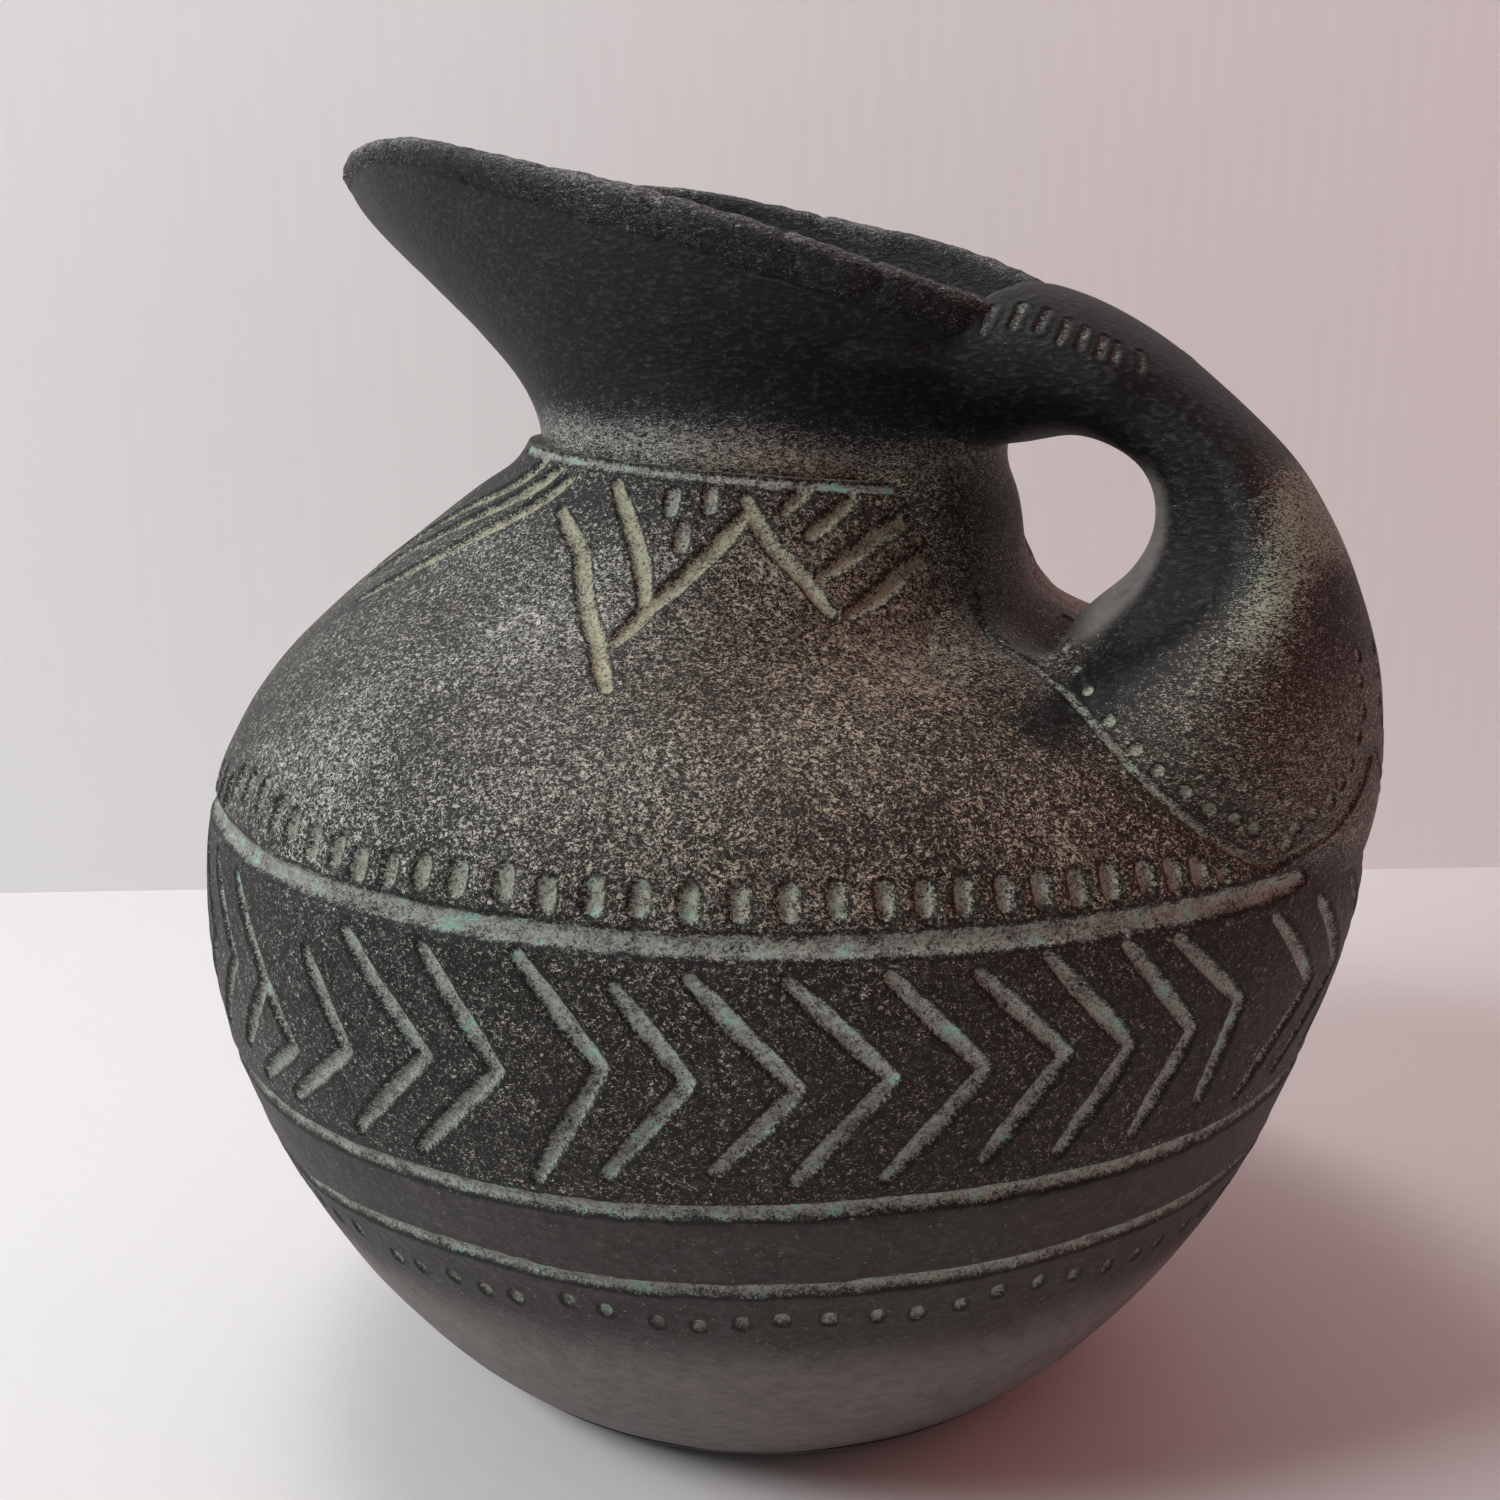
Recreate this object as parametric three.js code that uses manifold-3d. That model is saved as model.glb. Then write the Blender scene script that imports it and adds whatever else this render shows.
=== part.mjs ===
// Hand-built earthenware jug with an oblique beaked mouth and a handle that runs back
// from the mouth onto the shoulder, leaving a hole for one finger.
//
// Millimetres, +Z up. The origin is the centre of the flat foot. The spout points
// towards -X and the handle towards +X, so the XZ plane is the jug's plane of symmetry.
//
// The pieces are the ones a potter makes and lutes together: the base slab, the lower
// bowl, the seam coil pressed over the belly joint inside, the shoulder, the beaked
// mouth, the coil laid on its rim, and the handle.

import * as THREE from "three";
import { mergeVertices } from "three/addons/utils/BufferGeometryUtils.js";
import Module from "manifold-3d";

const wasm = await Module();
wasm.setup();

// Driving dimensions of the body
const FOOT_RADIUS = 68;
const BELLY_RADIUS = 125.2;
const BELLY_HEIGHT = 108;
const SEAM_HEIGHT = 131.7; // joint of the shoulder on the bowl
const NECK_RADIUS = 52.5;
const THROAT_RADIUS = 49.8; // foot of the mouth, stepped in from the shoulder
const NECK_HEIGHT = 203.5; // joint of the mouth on the shoulder
const WALL = 7;
const BASE_THICKNESS = 7;
const SLIP = 0.3; // thickness of the luting slip between two pieces

// How the hand-built body leaves a true round
const NECK_TILT = 0.0875; // fall of the neck towards the handle, per millimetre
const SHOULDER_DIP = 0.14; // extra fall half way up the shoulder
const FINGER_DIP = 8.5; // hollow pressed into the shoulder below the finger hole
const FINGER_DIP_RADIUS = 62; // its distance from the axis
const FINGER_DIP_REACH = 20;
const FINGER_DIP_ANGLE = THREE.MathUtils.degToRad(55);
const SWELL = 9; // how far the belly is pushed out below the handle
const SWELL_HEIGHT = 135;
const SWELL_REACH = 32;
const SWELL_ANGLE = THREE.MathUtils.degToRad(29);

// Incised rings
const GROOVE_WIDTH = 4;
const GROOVE_DEPTH = 1.3;
const RING_HEIGHTS = [69, 86.5];

// Incised strokes, drawn with a blunt tool
const STROKE_HALF_WIDTH = 1.8;
const STROKE_DEPTH = 1.2;
const STROKE_PROUD = 0.8; // how far the cutting shape stands out of the wall
const CHEVRON_COUNT = 52;
const CHEVRON_TOP = SEAM_HEIGHT - 4.7;
const CHEVRON_FOOT = RING_HEIGHTS[1] + 7;
const CHEVRON_POINT = (CHEVRON_TOP + CHEVRON_FOOT) / 2 + 0.25;
const CHEVRON_LEAN = 7; // degrees from the ends round to the point
const STROKES_DRAWN_ON = { seam: 131.7, neck: 203.5 }; // body the fans were drawn on
const LONGEST_LEG = 23.6; // of a stroke that needs no station half way

// Strokes on each side below the neck, from one end to the other, as degrees round from the
// handle and height
const FAN_STROKES = [
  [[12.5, 198.4], [40.8, 188.5]],
  [[18.6, 200.5], [45.4, 192.2]],
  [[59.6, 199.5], [44.6, 188.2]],
  [[61, 195.5], [76.2, 176]],
  [[87.6, 199.5], [76.5, 184.5]],
  [[98.6, 193], [75.4, 170]],
  [[100.6, 199], [126, 169.2]],
  [[106.6, 200], [135.4, 170.8]],
  [[113.6, 200.5], [142.2, 171.8]],
  [[166, 199.5], [178.5, 172]],
];

// Mouth: an egg-shaped rim that climbs from the handle to the spout
const SPOUT_REACH = 124;
const MOUTH_BACK = 72;
const MOUTH_HALF_WIDTH = 59;
const MOUTH_PINCH = 0.17; // how much slimmer the spout side is than the back
const RIM_HEIGHT = 255.8; // height of the rim above the body's axis
const RIM_SLOPE = 0.237;
const BACK_CURL = 4; // how far the back of the rim curls down onto the handle
const BACK_CURL_START = 8;
const TIP_CURL = 8; // how far the tip of the spout is rounded down
const TIP_CURL_START = -102;
const THROAT_RISE = 25; // how far the neck keeps upright above its joint
const FLARE_REACH = 0.85; // where it flares, as shares of the way out to the rim
const FLARE_DROP = 0.6; // and of the way down from it
const SPOUT_THICKENING = 0.2;
const RIM_COIL_HEIGHT = 7;
const RIM_COIL_PROUD = 0.8;

// Seam coil inside the belly
const SEAM_COIL_HALF_HEIGHT = 6;
const SEAM_COIL_DEPTH = 5;

// Handle stations from the mouth to the belly: the outer and the inner line as
// distance from the axis and height, and the half width across the jug
const HANDLE_STATIONS = [
  { outer: [64, 238], inner: [50, 207], halfWidth: 29 },
  { outer: [77, 233.5], inner: [60, 206.5], halfWidth: 26 },
  { outer: [92, 224.5], inner: [75, 208.5], halfWidth: 23 },
  { outer: [112.5, 207], inner: [88, 203.5], halfWidth: 20 },
  { outer: [122.5, 193.5], inner: [92, 194], halfWidth: 20 },
  { outer: [128.5, 180.5], inner: [88, 184], halfWidth: 24 },
  { outer: [132.5, 166], inner: [78, 174], halfWidth: 35 },
  { outer: [134, 152], inner: [72, 156], halfWidth: 41 },
  { outer: [134.5, 140], inner: [84, 142], halfWidth: 32 },
  { outer: [133, 129.5], inner: [100, 132], halfWidth: 13 },
];
const HANDLE_WIDEST = 0.62; // where a section is widest, from its inner edge
const HANDLE_DRAWN_ON = { radius: 125.2, height: 203.5 }; // body the stations were drawn on

// Fineness of the mesh
const AROUND = 60;
const HANDLE_STEPS = 20;
const HANDLE_SIDES = 20;

const SURFACES = {
  slab: new THREE.MeshStandardMaterial({ color: 0x5a5753, roughness: 0.7 }),
  belly: new THREE.MeshStandardMaterial({ color: 0x4a4640, roughness: 0.65 }),
  shoulder: new THREE.MeshStandardMaterial({ color: 0x4d473d, roughness: 0.62 }),
  mouth: new THREE.MeshStandardMaterial({ color: 0x2b2b2d, roughness: 0.55 }),
  rim: new THREE.MeshStandardMaterial({ color: 0x4c4d4b, roughness: 0.8 }),
  handle: new THREE.MeshStandardMaterial({ color: 0x3d3d3a, roughness: 0.58 }),
  inside: new THREE.MeshStandardMaterial({ color: 0x2a2725, roughness: 0.85 }),
};

// Outline of the body

const lowerOutline = new THREE.CubicBezierCurve(
  new THREE.Vector2(FOOT_RADIUS, 0),
  new THREE.Vector2(FOOT_RADIUS + 0.2 * (BELLY_RADIUS - FOOT_RADIUS), 0.045 * BELLY_HEIGHT),
  new THREE.Vector2(FOOT_RADIUS + 0.98 * (BELLY_RADIUS - FOOT_RADIUS), 0.5 * BELLY_HEIGHT),
  new THREE.Vector2(BELLY_RADIUS, BELLY_HEIGHT),
);

const upperOutline = new THREE.CubicBezierCurve(
  new THREE.Vector2(BELLY_RADIUS, BELLY_HEIGHT),
  new THREE.Vector2(BELLY_RADIUS, BELLY_HEIGHT + 0.73 * (NECK_HEIGHT - BELLY_HEIGHT)),
  new THREE.Vector2(
    NECK_RADIUS + 0.35 * (BELLY_RADIUS - NECK_RADIUS),
    BELLY_HEIGHT + 0.51 * (NECK_HEIGHT - BELLY_HEIGHT),
  ),
  new THREE.Vector2(NECK_RADIUS, NECK_HEIGHT),
);

// The point of the wall at a height, a given depth below the outer surface
function wallPoint(height, depth) {
  let low = 0;
  let high = 2;
  const point = new THREE.Vector2();
  for (let i = 0; i < 40; i += 1) {
    const middle = (low + high) / 2;
    const curve = middle < 1 ? lowerOutline : upperOutline;
    const place = middle < 1 ? middle : middle - 1;
    const along = curve.getTangent(place);
    point.copy(curve.getPoint(place));
    point.set(point.x - along.y * depth, point.y + along.x * depth);
    if (point.y < height) low = middle;
    else high = middle;
  }
  return new THREE.Vector2(point.x, height);
}

function evenHeights(from, to, steps) {
  return [...Array(steps + 1).keys()].map((i) => THREE.MathUtils.lerp(from, to, i / steps));
}

// The outer surface between two joints as heights with the depth cut into the wall there:
// even steps, and three levels for each incised ring
function levels(from, to, steps, rings) {
  const half = GROOVE_WIDTH / 2;
  const list = evenHeights(from, to, steps)
    .filter((height) => rings.every((ring) => Math.abs(ring - height) > 1.2 * half))
    .map((height) => ({ height, depth: 0 }));
  for (const ring of rings) {
    for (const [offset, depth] of [[-half, 0], [0, GROOVE_DEPTH], [half, 0]]) {
      const height = ring + offset;
      if (height >= from && height <= to) list.push({ height, depth });
    }
  }
  return list.sort((a, b) => a.height - b.height);
}

const bowlLevels = levels(BASE_THICKNESS, SEAM_HEIGHT, 10, [...RING_HEIGHTS, SEAM_HEIGHT]);
const shoulderLevels = levels(SEAM_HEIGHT, NECK_HEIGHT, 10, [SEAM_HEIGHT, NECK_HEIGHT]);

// A round swelling or hollow: its full depth in the middle, fading out at its reach
function bump(depth, ...distances) {
  return depth * Math.exp(-distances.reduce((sum, distance) => sum + distance ** 2, 0));
}

// The hand-built body: tilts and dips towards the handle above the belly joint, and
// swells out below it. Every piece of the body is bent by this one rule.
function settle(point) {
  const rise = (point.z - SEAM_HEIGHT) / (NECK_HEIGHT - SEAM_HEIGHT);
  const share = THREE.MathUtils.clamp(rise, 0, 1) ** 2;
  const fall = NECK_TILT * share + SHOULDER_DIP * Math.sin(Math.PI * share) ** 2;
  const angle = Math.atan2(point.y, point.x);
  const radius = Math.hypot(point.x, point.y);
  const near = THREE.MathUtils.smoothstep(radius, FOOT_RADIUS * 0.8, BELLY_RADIUS * 0.8);
  const push = bump(SWELL * near, (point.z - SWELL_HEIGHT) / SWELL_REACH, angle / SWELL_ANGLE);
  const fromFinger = (radius - FINGER_DIP_RADIUS) / FINGER_DIP_REACH;
  const press = bump(FINGER_DIP * Math.sin(Math.PI * share), fromFinger, angle / FINGER_DIP_ANGLE);
  return new THREE.Vector3(
    point.x + push * Math.cos(angle),
    point.y + push * Math.sin(angle),
    point.z - fall * point.x - press,
  );
}

// Mesh helpers

// A closed profile revolved about Z
function revolve(profile) {
  const closed = [...profile, profile[0].clone()];
  const geometry = new THREE.LatheGeometry(closed, AROUND);
  return geometry.rotateX(Math.PI / 2);
}

function bend(geometry, rule) {
  const position = geometry.getAttribute("position");
  for (let i = 0; i < position.count; i += 1) {
    const moved = rule(new THREE.Vector3().fromBufferAttribute(position, i));
    position.setXYZ(i, moved.x, moved.y, moved.z);
  }
  return geometry;
}

// A surface through rows of points. Each row is a closed loop. The rows either close on
// each other, or the first and the last row are capped. Two pieces that meet face to face
// have their facets divided along the same diagonals, so one of them is crossed.
function skin(rows, closesOnItself, crossed = false) {
  const sides = rows[0].length;
  const points = rows.flat();
  const index = [];
  const count = closesOnItself ? rows.length : rows.length - 1;
  for (let i = 0; i < count; i += 1) {
    const next = (i + 1) % rows.length;
    for (let j = 0; j < sides; j += 1) {
      const k = (j + 1) % sides;
      const [a, b, c, d] = [i * sides + j, next * sides + j, next * sides + k, i * sides + k];
      if (crossed) index.push(a, b, d, b, c, d);
      else index.push(a, b, c, a, c, d);
    }
  }
  if (!closesOnItself) {
    for (const [row, turn] of [[0, 1], [rows.length - 1, -1]]) {
      const centre = points.length;
      const middle = new THREE.Vector3();
      for (const point of rows[row]) middle.add(point);
      points.push(middle.divideScalar(sides));
      for (let j = 0; j < sides; j += 1) {
        const here = row * sides + j;
        const there = row * sides + ((j + 1) % sides);
        if (turn > 0) index.push(centre, here, there);
        else index.push(centre, there, here);
      }
    }
  }
  const geometry = new THREE.BufferGeometry().setFromPoints(points);
  geometry.setIndex(index);
  return geometry;
}

function toSolid(geometry) {
  const bare = geometry.clone();
  bare.deleteAttribute("normal");
  bare.deleteAttribute("uv");
  const merged = mergeVertices(bare, 1e-4);
  return new wasm.Manifold(
    new wasm.Mesh({
      numProp: 3,
      vertProperties: new Float32Array(merged.getAttribute("position").array),
      triVerts: new Uint32Array(merged.index.array),
    }),
  );
}

function toGeometry(solid) {
  const mesh = solid.getMesh();
  const geometry = new THREE.BufferGeometry();
  geometry.setAttribute("position", new THREE.BufferAttribute(mesh.vertProperties, 3));
  geometry.setIndex(new THREE.BufferAttribute(mesh.triVerts, 1));
  return geometry;
}

function piece(name, geometry, material) {
  geometry.computeVertexNormals();
  const mesh = new THREE.Mesh(geometry, material);
  mesh.name = name;
  return mesh;
}

// Base slab: a disc whose edge carries on the line of the wall
function baseSlab() {
  return revolve([
    new THREE.Vector2(0.001, 0),
    new THREE.Vector2(FOOT_RADIUS, 0),
    wallPoint(BASE_THICKNESS / 2, 0),
    wallPoint(BASE_THICKNESS, 0),
    new THREE.Vector2(0.001, BASE_THICKNESS),
  ]);
}

// A stretch of the body wall between two joints
function wallStretch(outerLevels, innerHeights) {
  const outer = outerLevels.map(({ height, depth }) => wallPoint(height, depth));
  const inner = innerHeights.map((height) => wallPoint(height, WALL));
  return bend(revolve([...outer, ...inner.reverse()]), settle);
}

function bowlWall() {
  const coilFoot = SEAM_HEIGHT - SEAM_COIL_HALF_HEIGHT;
  return wallStretch(bowlLevels, [...evenHeights(BASE_THICKNESS, coilFoot, 6), SEAM_HEIGHT]);
}

function shoulderWall() {
  const coilTop = SEAM_HEIGHT + SEAM_COIL_HALF_HEIGHT;
  return wallStretch(shoulderLevels, [SEAM_HEIGHT, ...evenHeights(coilTop, NECK_HEIGHT, 6)]);
}

// A fan's place on the shoulder, led from the body it was drawn on to this one
function shoulderPlace([angle, height]) {
  const { seam, neck } = STROKES_DRAWN_ON;
  const share = (height - seam) / (neck - seam);
  return [angle, THREE.MathUtils.lerp(SEAM_HEIGHT, NECK_HEIGHT, share)];
}

// A point of the bent body at an angle in degrees and a height, below its surface
function bodyPoint([angle, height], depth) {
  const wall = wallPoint(height, depth);
  const turn = THREE.MathUtils.degToRad(angle);
  return settle(new THREE.Vector3(wall.x * Math.cos(turn), wall.x * Math.sin(turn), height));
}

// The wedge that one stroke of the tool takes out of the wall. It passes through corners
// given as angle and height. A long leg has a station half way along, so that it follows
// the curve of the wall.
function strokeWedge(corners) {
  const places = corners.flatMap((corner, i) => {
    const last = corners[Math.max(i - 1, 0)];
    const leg = bodyPoint(corner, 0).distanceTo(bodyPoint(last, 0));
    return leg > LONGEST_LEG ? [corner.map((value, k) => (value + last[k]) / 2), corner] : [corner];
  });
  const rows = places.map((place, i) => {
    const edge = bodyPoint(place, -STROKE_PROUD);
    const floor = bodyPoint(place, STROKE_DEPTH);
    const ahead = bodyPoint(places[Math.min(i + 1, places.length - 1)], -STROKE_PROUD);
    const behind = bodyPoint(places[Math.max(i - 1, 0)], -STROKE_PROUD);
    const along = ahead.sub(behind).normalize();
    const across = edge.clone().sub(floor).cross(along).normalize();
    const opening = STROKE_HALF_WIDTH * (1 + STROKE_PROUD / STROKE_DEPTH);
    return [
      edge.clone().addScaledVector(across, -opening),
      edge.clone().addScaledVector(across, opening),
      floor,
    ];
  });
  return toSolid(skin(rows, false));
}

function cutStrokes(geometry, strokes) {
  return toGeometry(toSolid(geometry).subtract(wasm.Manifold.union(strokes.map(strokeWedge))));
}

function lowerBowl() {
  const chevrons = [...Array(CHEVRON_COUNT).keys()].map((i) => {
    const angle = (360 * i) / CHEVRON_COUNT;
    return [
      [angle - CHEVRON_LEAN, CHEVRON_TOP],
      [angle, CHEVRON_POINT],
      [angle - CHEVRON_LEAN, CHEVRON_FOOT],
    ];
  });
  return cutStrokes(bowlWall(), chevrons);
}

function shoulder() {
  const nearSide = FAN_STROKES.map((stroke) => stroke.map(shoulderPlace));
  const farSide = nearSide.map((stroke) => stroke.map(([angle, height]) => [-angle, height]));
  return cutStrokes(shoulderWall(), [...nearSide, ...farSide]);
}

// Coil pressed over the belly joint from inside, its back following the wall
function seamCoil() {
  const low = SEAM_HEIGHT - SEAM_COIL_HALF_HEIGHT;
  const high = SEAM_HEIGHT + SEAM_COIL_HALF_HEIGHT;
  const backs = [low, SEAM_HEIGHT, high].map((height) => wallPoint(height, WALL + SLIP));
  const middle = wallPoint(SEAM_HEIGHT, WALL + SEAM_COIL_DEPTH);
  const shoulders = [low + 2, high - 2].map((height) =>
    wallPoint(height, WALL + 0.75 * SEAM_COIL_DEPTH),
  );
  return bend(
    revolve([backs[0], backs[1], backs[2], shoulders[1], middle, shoulders[0]]),
    settle,
  );
}

// Mouth

function rimHeight(x) {
  const back = Math.max(0, (x - BACK_CURL_START) / (MOUTH_BACK - BACK_CURL_START));
  const tip = Math.max(0, (x - TIP_CURL_START) / (-SPOUT_REACH - TIP_CURL_START));
  return RIM_HEIGHT - RIM_SLOPE * x - BACK_CURL * back * back - TIP_CURL * tip * tip;
}

// The edge of the rim seen from above: 0 at the handle, pi at the tip of the spout
function rimPlan(angle) {
  const middle = (MOUTH_BACK - SPOUT_REACH) / 2;
  const half = (MOUTH_BACK + SPOUT_REACH) / 2;
  const width = MOUTH_HALF_WIDTH * (1 + MOUTH_PINCH * Math.cos(angle));
  return new THREE.Vector2(middle + half * Math.cos(angle), width * Math.sin(angle));
}

// A point on the sloping top of the rim, a given depth in from its edge
function rimPoint(angle, depth) {
  const step = 0.01;
  const along = rimPlan(angle + step).sub(rimPlan(angle - step)).normalize();
  const plan = rimPlan(angle).add(new THREE.Vector2(-along.y, along.x).multiplyScalar(depth));
  return new THREE.Vector3(plan.x, plan.y, rimHeight(plan.x));
}

function neckPoint(angle, radius) {
  const x = radius * Math.cos(angle);
  return new THREE.Vector3(x, radius * Math.sin(angle), NECK_HEIGHT - NECK_TILT * x);
}

// A line up the mouth from the neck joint to the rim: upright at first, then flaring
function mouthLine(foot, rim) {
  const upright = foot.clone().add(new THREE.Vector3(0, 0, THROAT_RISE));
  const flare = foot.clone().lerp(rim, FLARE_REACH);
  flare.z = THREE.MathUtils.lerp(rim.z, foot.z, FLARE_DROP);
  return new THREE.CubicBezierCurve3(foot, upright, flare, rim);
}

function outerLine(angle) {
  return mouthLine(neckPoint(angle, THROAT_RADIUS), rimPoint(angle, 0));
}

// The spout is thicker than the rest, since its wall leans out
function innerLine(angle) {
  const lean = 1 + SPOUT_THICKENING * (1 - Math.cos(angle));
  const neck = neckPoint(angle, wallPoint(NECK_HEIGHT, WALL).x);
  return mouthLine(neck, rimPoint(angle, WALL * lean));
}

// A point of the mouth's wall at a share of its height, a given depth below the surface
function mouthPoint(angle, share, depth) {
  const outer = outerLine(angle).getPoint(share);
  return outer.lerp(innerLine(angle).getPoint(share), depth / WALL);
}

const angles = [...Array(AROUND).keys()].map((i) => (2 * Math.PI * i) / AROUND);

// The share of a mouth line that lies below a coil of the given height
function shareBelowCoil(angle, height) {
  return 1 - height / outerLine(angle).getLength();
}

// The mouth's wall below the coil, as points from the neck up, a given depth below the
// surface
function wallBelowCoil(angle, depth) {
  const top = shareBelowCoil(angle, RIM_COIL_HEIGHT + SLIP);
  return [0, 0.12, 0.25, 0.4, 0.55, 0.75, 1].map((step) => mouthPoint(angle, step * top, depth));
}

function mouth() {
  const rows = angles.map((angle) => [
    ...wallBelowCoil(angle, 0),
    ...wallBelowCoil(angle, WALL).reverse(),
  ]);
  return skin(rows, true);
}

// The outer face of the rim coil, a little proud of the wall, with a given clearance
function coilFace(angle, clearance) {
  const bottom = shareBelowCoil(angle, RIM_COIL_HEIGHT);
  return [[0, 0], [0.5, RIM_COIL_PROUD], [0.85, RIM_COIL_PROUD / 2]].map(([rise, proud]) =>
    mouthPoint(angle, THREE.MathUtils.lerp(bottom, 1, rise), -proud - clearance),
  );
}

// Coil laid on the rim of the mouth, rounded on top
function rimCoil() {
  const rows = angles.map((angle) => {
    const bottom = shareBelowCoil(angle, RIM_COIL_HEIGHT);
    return [
      ...coilFace(angle, 0),
      mouthPoint(angle, 1, WALL * 0.3),
      mouthPoint(angle, 1, WALL * 0.7),
      mouthPoint(angle, (bottom + 3) / 4, WALL),
      mouthPoint(angle, bottom, WALL),
    ];
  });
  return skin(rows, true, true);
}

// Solids that the handle is pared to, one slip thickness outside the body and the mouth

function bodyCutter() {
  const outer = [...bowlLevels, ...shoulderLevels.slice(1)].map(({ height }) =>
    wallPoint(height, -SLIP),
  );
  const profile = [
    new THREE.Vector2(0.001, 0),
    new THREE.Vector2(FOOT_RADIUS, 0),
    ...outer,
    new THREE.Vector2(0.001, NECK_HEIGHT),
  ];
  return toSolid(bend(revolve(profile), settle));
}

function mouthCutter() {
  const columns = angles.map((angle) => {
    const wall = wallBelowCoil(angle, -SLIP);
    const below = wall[0].clone().setZ(wall[0].z - WALL);
    const above = mouthPoint(angle, 1, -SLIP);
    return [below, ...wall, ...coilFace(angle, SLIP), above, above.clone().setZ(above.z + WALL)];
  });
  const rows = columns[0].map((_, level) => columns.map((column) => column[level]));
  return toSolid(skin(rows.reverse(), false));
}

// Handle: egg-shaped sections, widest near the outer face, that spread into a broad
// leaf-shaped root on the shoulder
function handleCurve(pick) {
  return new THREE.CatmullRomCurve3(HANDLE_STATIONS.map(pick), false, "centripetal");
}

function handleSection(outer, inner, halfWidth) {
  const across = new THREE.Vector3(0, 1, 0);
  const axis = outer.clone().sub(inner);
  const widest = inner.clone().addScaledVector(axis, HANDLE_WIDEST);
  const loop = [];
  for (let i = 0; i < HANDLE_SIDES; i += 1) {
    const turn = (2 * Math.PI * i) / HANDLE_SIDES;
    const reach = Math.cos(turn) > 0 ? 1 - HANDLE_WIDEST : HANDLE_WIDEST;
    loop.push(
      widest
        .clone()
        .addScaledVector(axis, Math.cos(turn) * reach)
        .addScaledVector(across, Math.sin(turn) * halfWidth),
    );
  }
  return loop;
}

function handle() {
  const outStretch = BELLY_RADIUS / HANDLE_DRAWN_ON.radius;
  const upStretch = NECK_HEIGHT / HANDLE_DRAWN_ON.height;
  const stationPoint = ([out, up]) => new THREE.Vector3(out * outStretch, 0, up * upStretch);
  const outerLine = handleCurve((s) => stationPoint(s.outer));
  const innerLine = handleCurve((s) => stationPoint(s.inner));
  const widthLine = handleCurve((s, i) => new THREE.Vector3(20 * i, s.halfWidth * outStretch, 0));
  const rows = [];
  for (let i = 0; i <= HANDLE_STEPS; i += 1) {
    const share = i / HANDLE_STEPS;
    const halfWidth = widthLine.getPoint(share).y;
    rows.push(handleSection(outerLine.getPoint(share), innerLine.getPoint(share), halfWidth));
  }
  const whole = toSolid(skin(rows, false));
  return toGeometry(whole.subtract(bodyCutter()).subtract(mouthCutter()));
}

const jug = new THREE.Group();
jug.add(
  piece("base_slab", baseSlab(), SURFACES.slab),
  piece("lower_bowl", lowerBowl(), SURFACES.belly),
  piece("seam_coil", seamCoil(), SURFACES.inside),
  piece("shoulder", shoulder(), SURFACES.shoulder),
  piece("beaked_mouth", mouth(), SURFACES.mouth),
  piece("rim_coil", rimCoil(), SURFACES.rim),
  piece("handle", handle(), SURFACES.handle),
);

export default jug;
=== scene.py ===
# %% [markdown]
# # A dark hand-built jug
# The jug is earthenware built without a wheel: a base slab, a bowl and a shoulder of coils,
# a beaked mouth, a coil laid on its rim and a handle that runs from the mouth onto the
# shoulder. The clay was incised while leather hard, covered with a black slip, rubbed back
# to the pale grit in the clay, and a green-grey patina has stayed in the cuts.
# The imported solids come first. They give every piece its size and its place.

import math
from functools import partial

import bpy
import numpy as np
from mathutils import Matrix, Vector, kdtree, noise


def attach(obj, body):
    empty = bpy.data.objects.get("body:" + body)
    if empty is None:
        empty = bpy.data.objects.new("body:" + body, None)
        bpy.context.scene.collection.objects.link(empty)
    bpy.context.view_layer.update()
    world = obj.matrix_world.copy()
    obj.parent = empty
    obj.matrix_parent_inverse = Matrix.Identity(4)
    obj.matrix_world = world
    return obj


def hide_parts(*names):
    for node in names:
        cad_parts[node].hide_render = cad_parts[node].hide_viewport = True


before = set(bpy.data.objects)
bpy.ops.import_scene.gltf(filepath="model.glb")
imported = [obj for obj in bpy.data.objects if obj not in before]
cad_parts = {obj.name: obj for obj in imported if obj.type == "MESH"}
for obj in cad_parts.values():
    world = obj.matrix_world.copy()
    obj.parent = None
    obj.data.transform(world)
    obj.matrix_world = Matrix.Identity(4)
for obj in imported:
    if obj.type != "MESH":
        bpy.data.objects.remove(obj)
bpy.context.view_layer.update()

# %% [markdown]
# ## Camera
# The jug is looked at from a little above and from the side of the handle, from about forty
# centimetres, so the belly looks wide and the foot small. The camera is made first, since
# each piece is then judged through it.

# %% Camera at the photograph's viewing angle
CAMERA_PLACE = (0.1933, -0.2822, 0.2151)
CAMERA_HEADING = 35.0  # degrees, turned from +Y towards -X
CAMERA_PITCH = -13.13

camera_data = bpy.data.cameras.new("camera")
camera_data.sensor_width = 36
camera_data.lens = 36
camera_data.clip_start = 0.01
camera = bpy.data.objects.new("camera", camera_data)
bpy.context.scene.collection.objects.link(camera)
camera.location = CAMERA_PLACE
turn = Matrix.Rotation(math.radians(CAMERA_HEADING), 4, "Z")
tilt = Matrix.Rotation(math.radians(90 + CAMERA_PITCH), 4, "X")
camera.rotation_euler = (turn @ tilt).to_euler()
bpy.context.scene.camera = camera
print("camera at", CAMERA_PLACE)

# %% [markdown]
# ## The line of the wall
# A jug built by hand still follows one line from foot to neck. Two curves that meet at the
# widest place give it. The wall could be copied from the solid, but its facets would show,
# so the line is drawn again from the same sizes, in millimetres, and is smooth.

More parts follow.
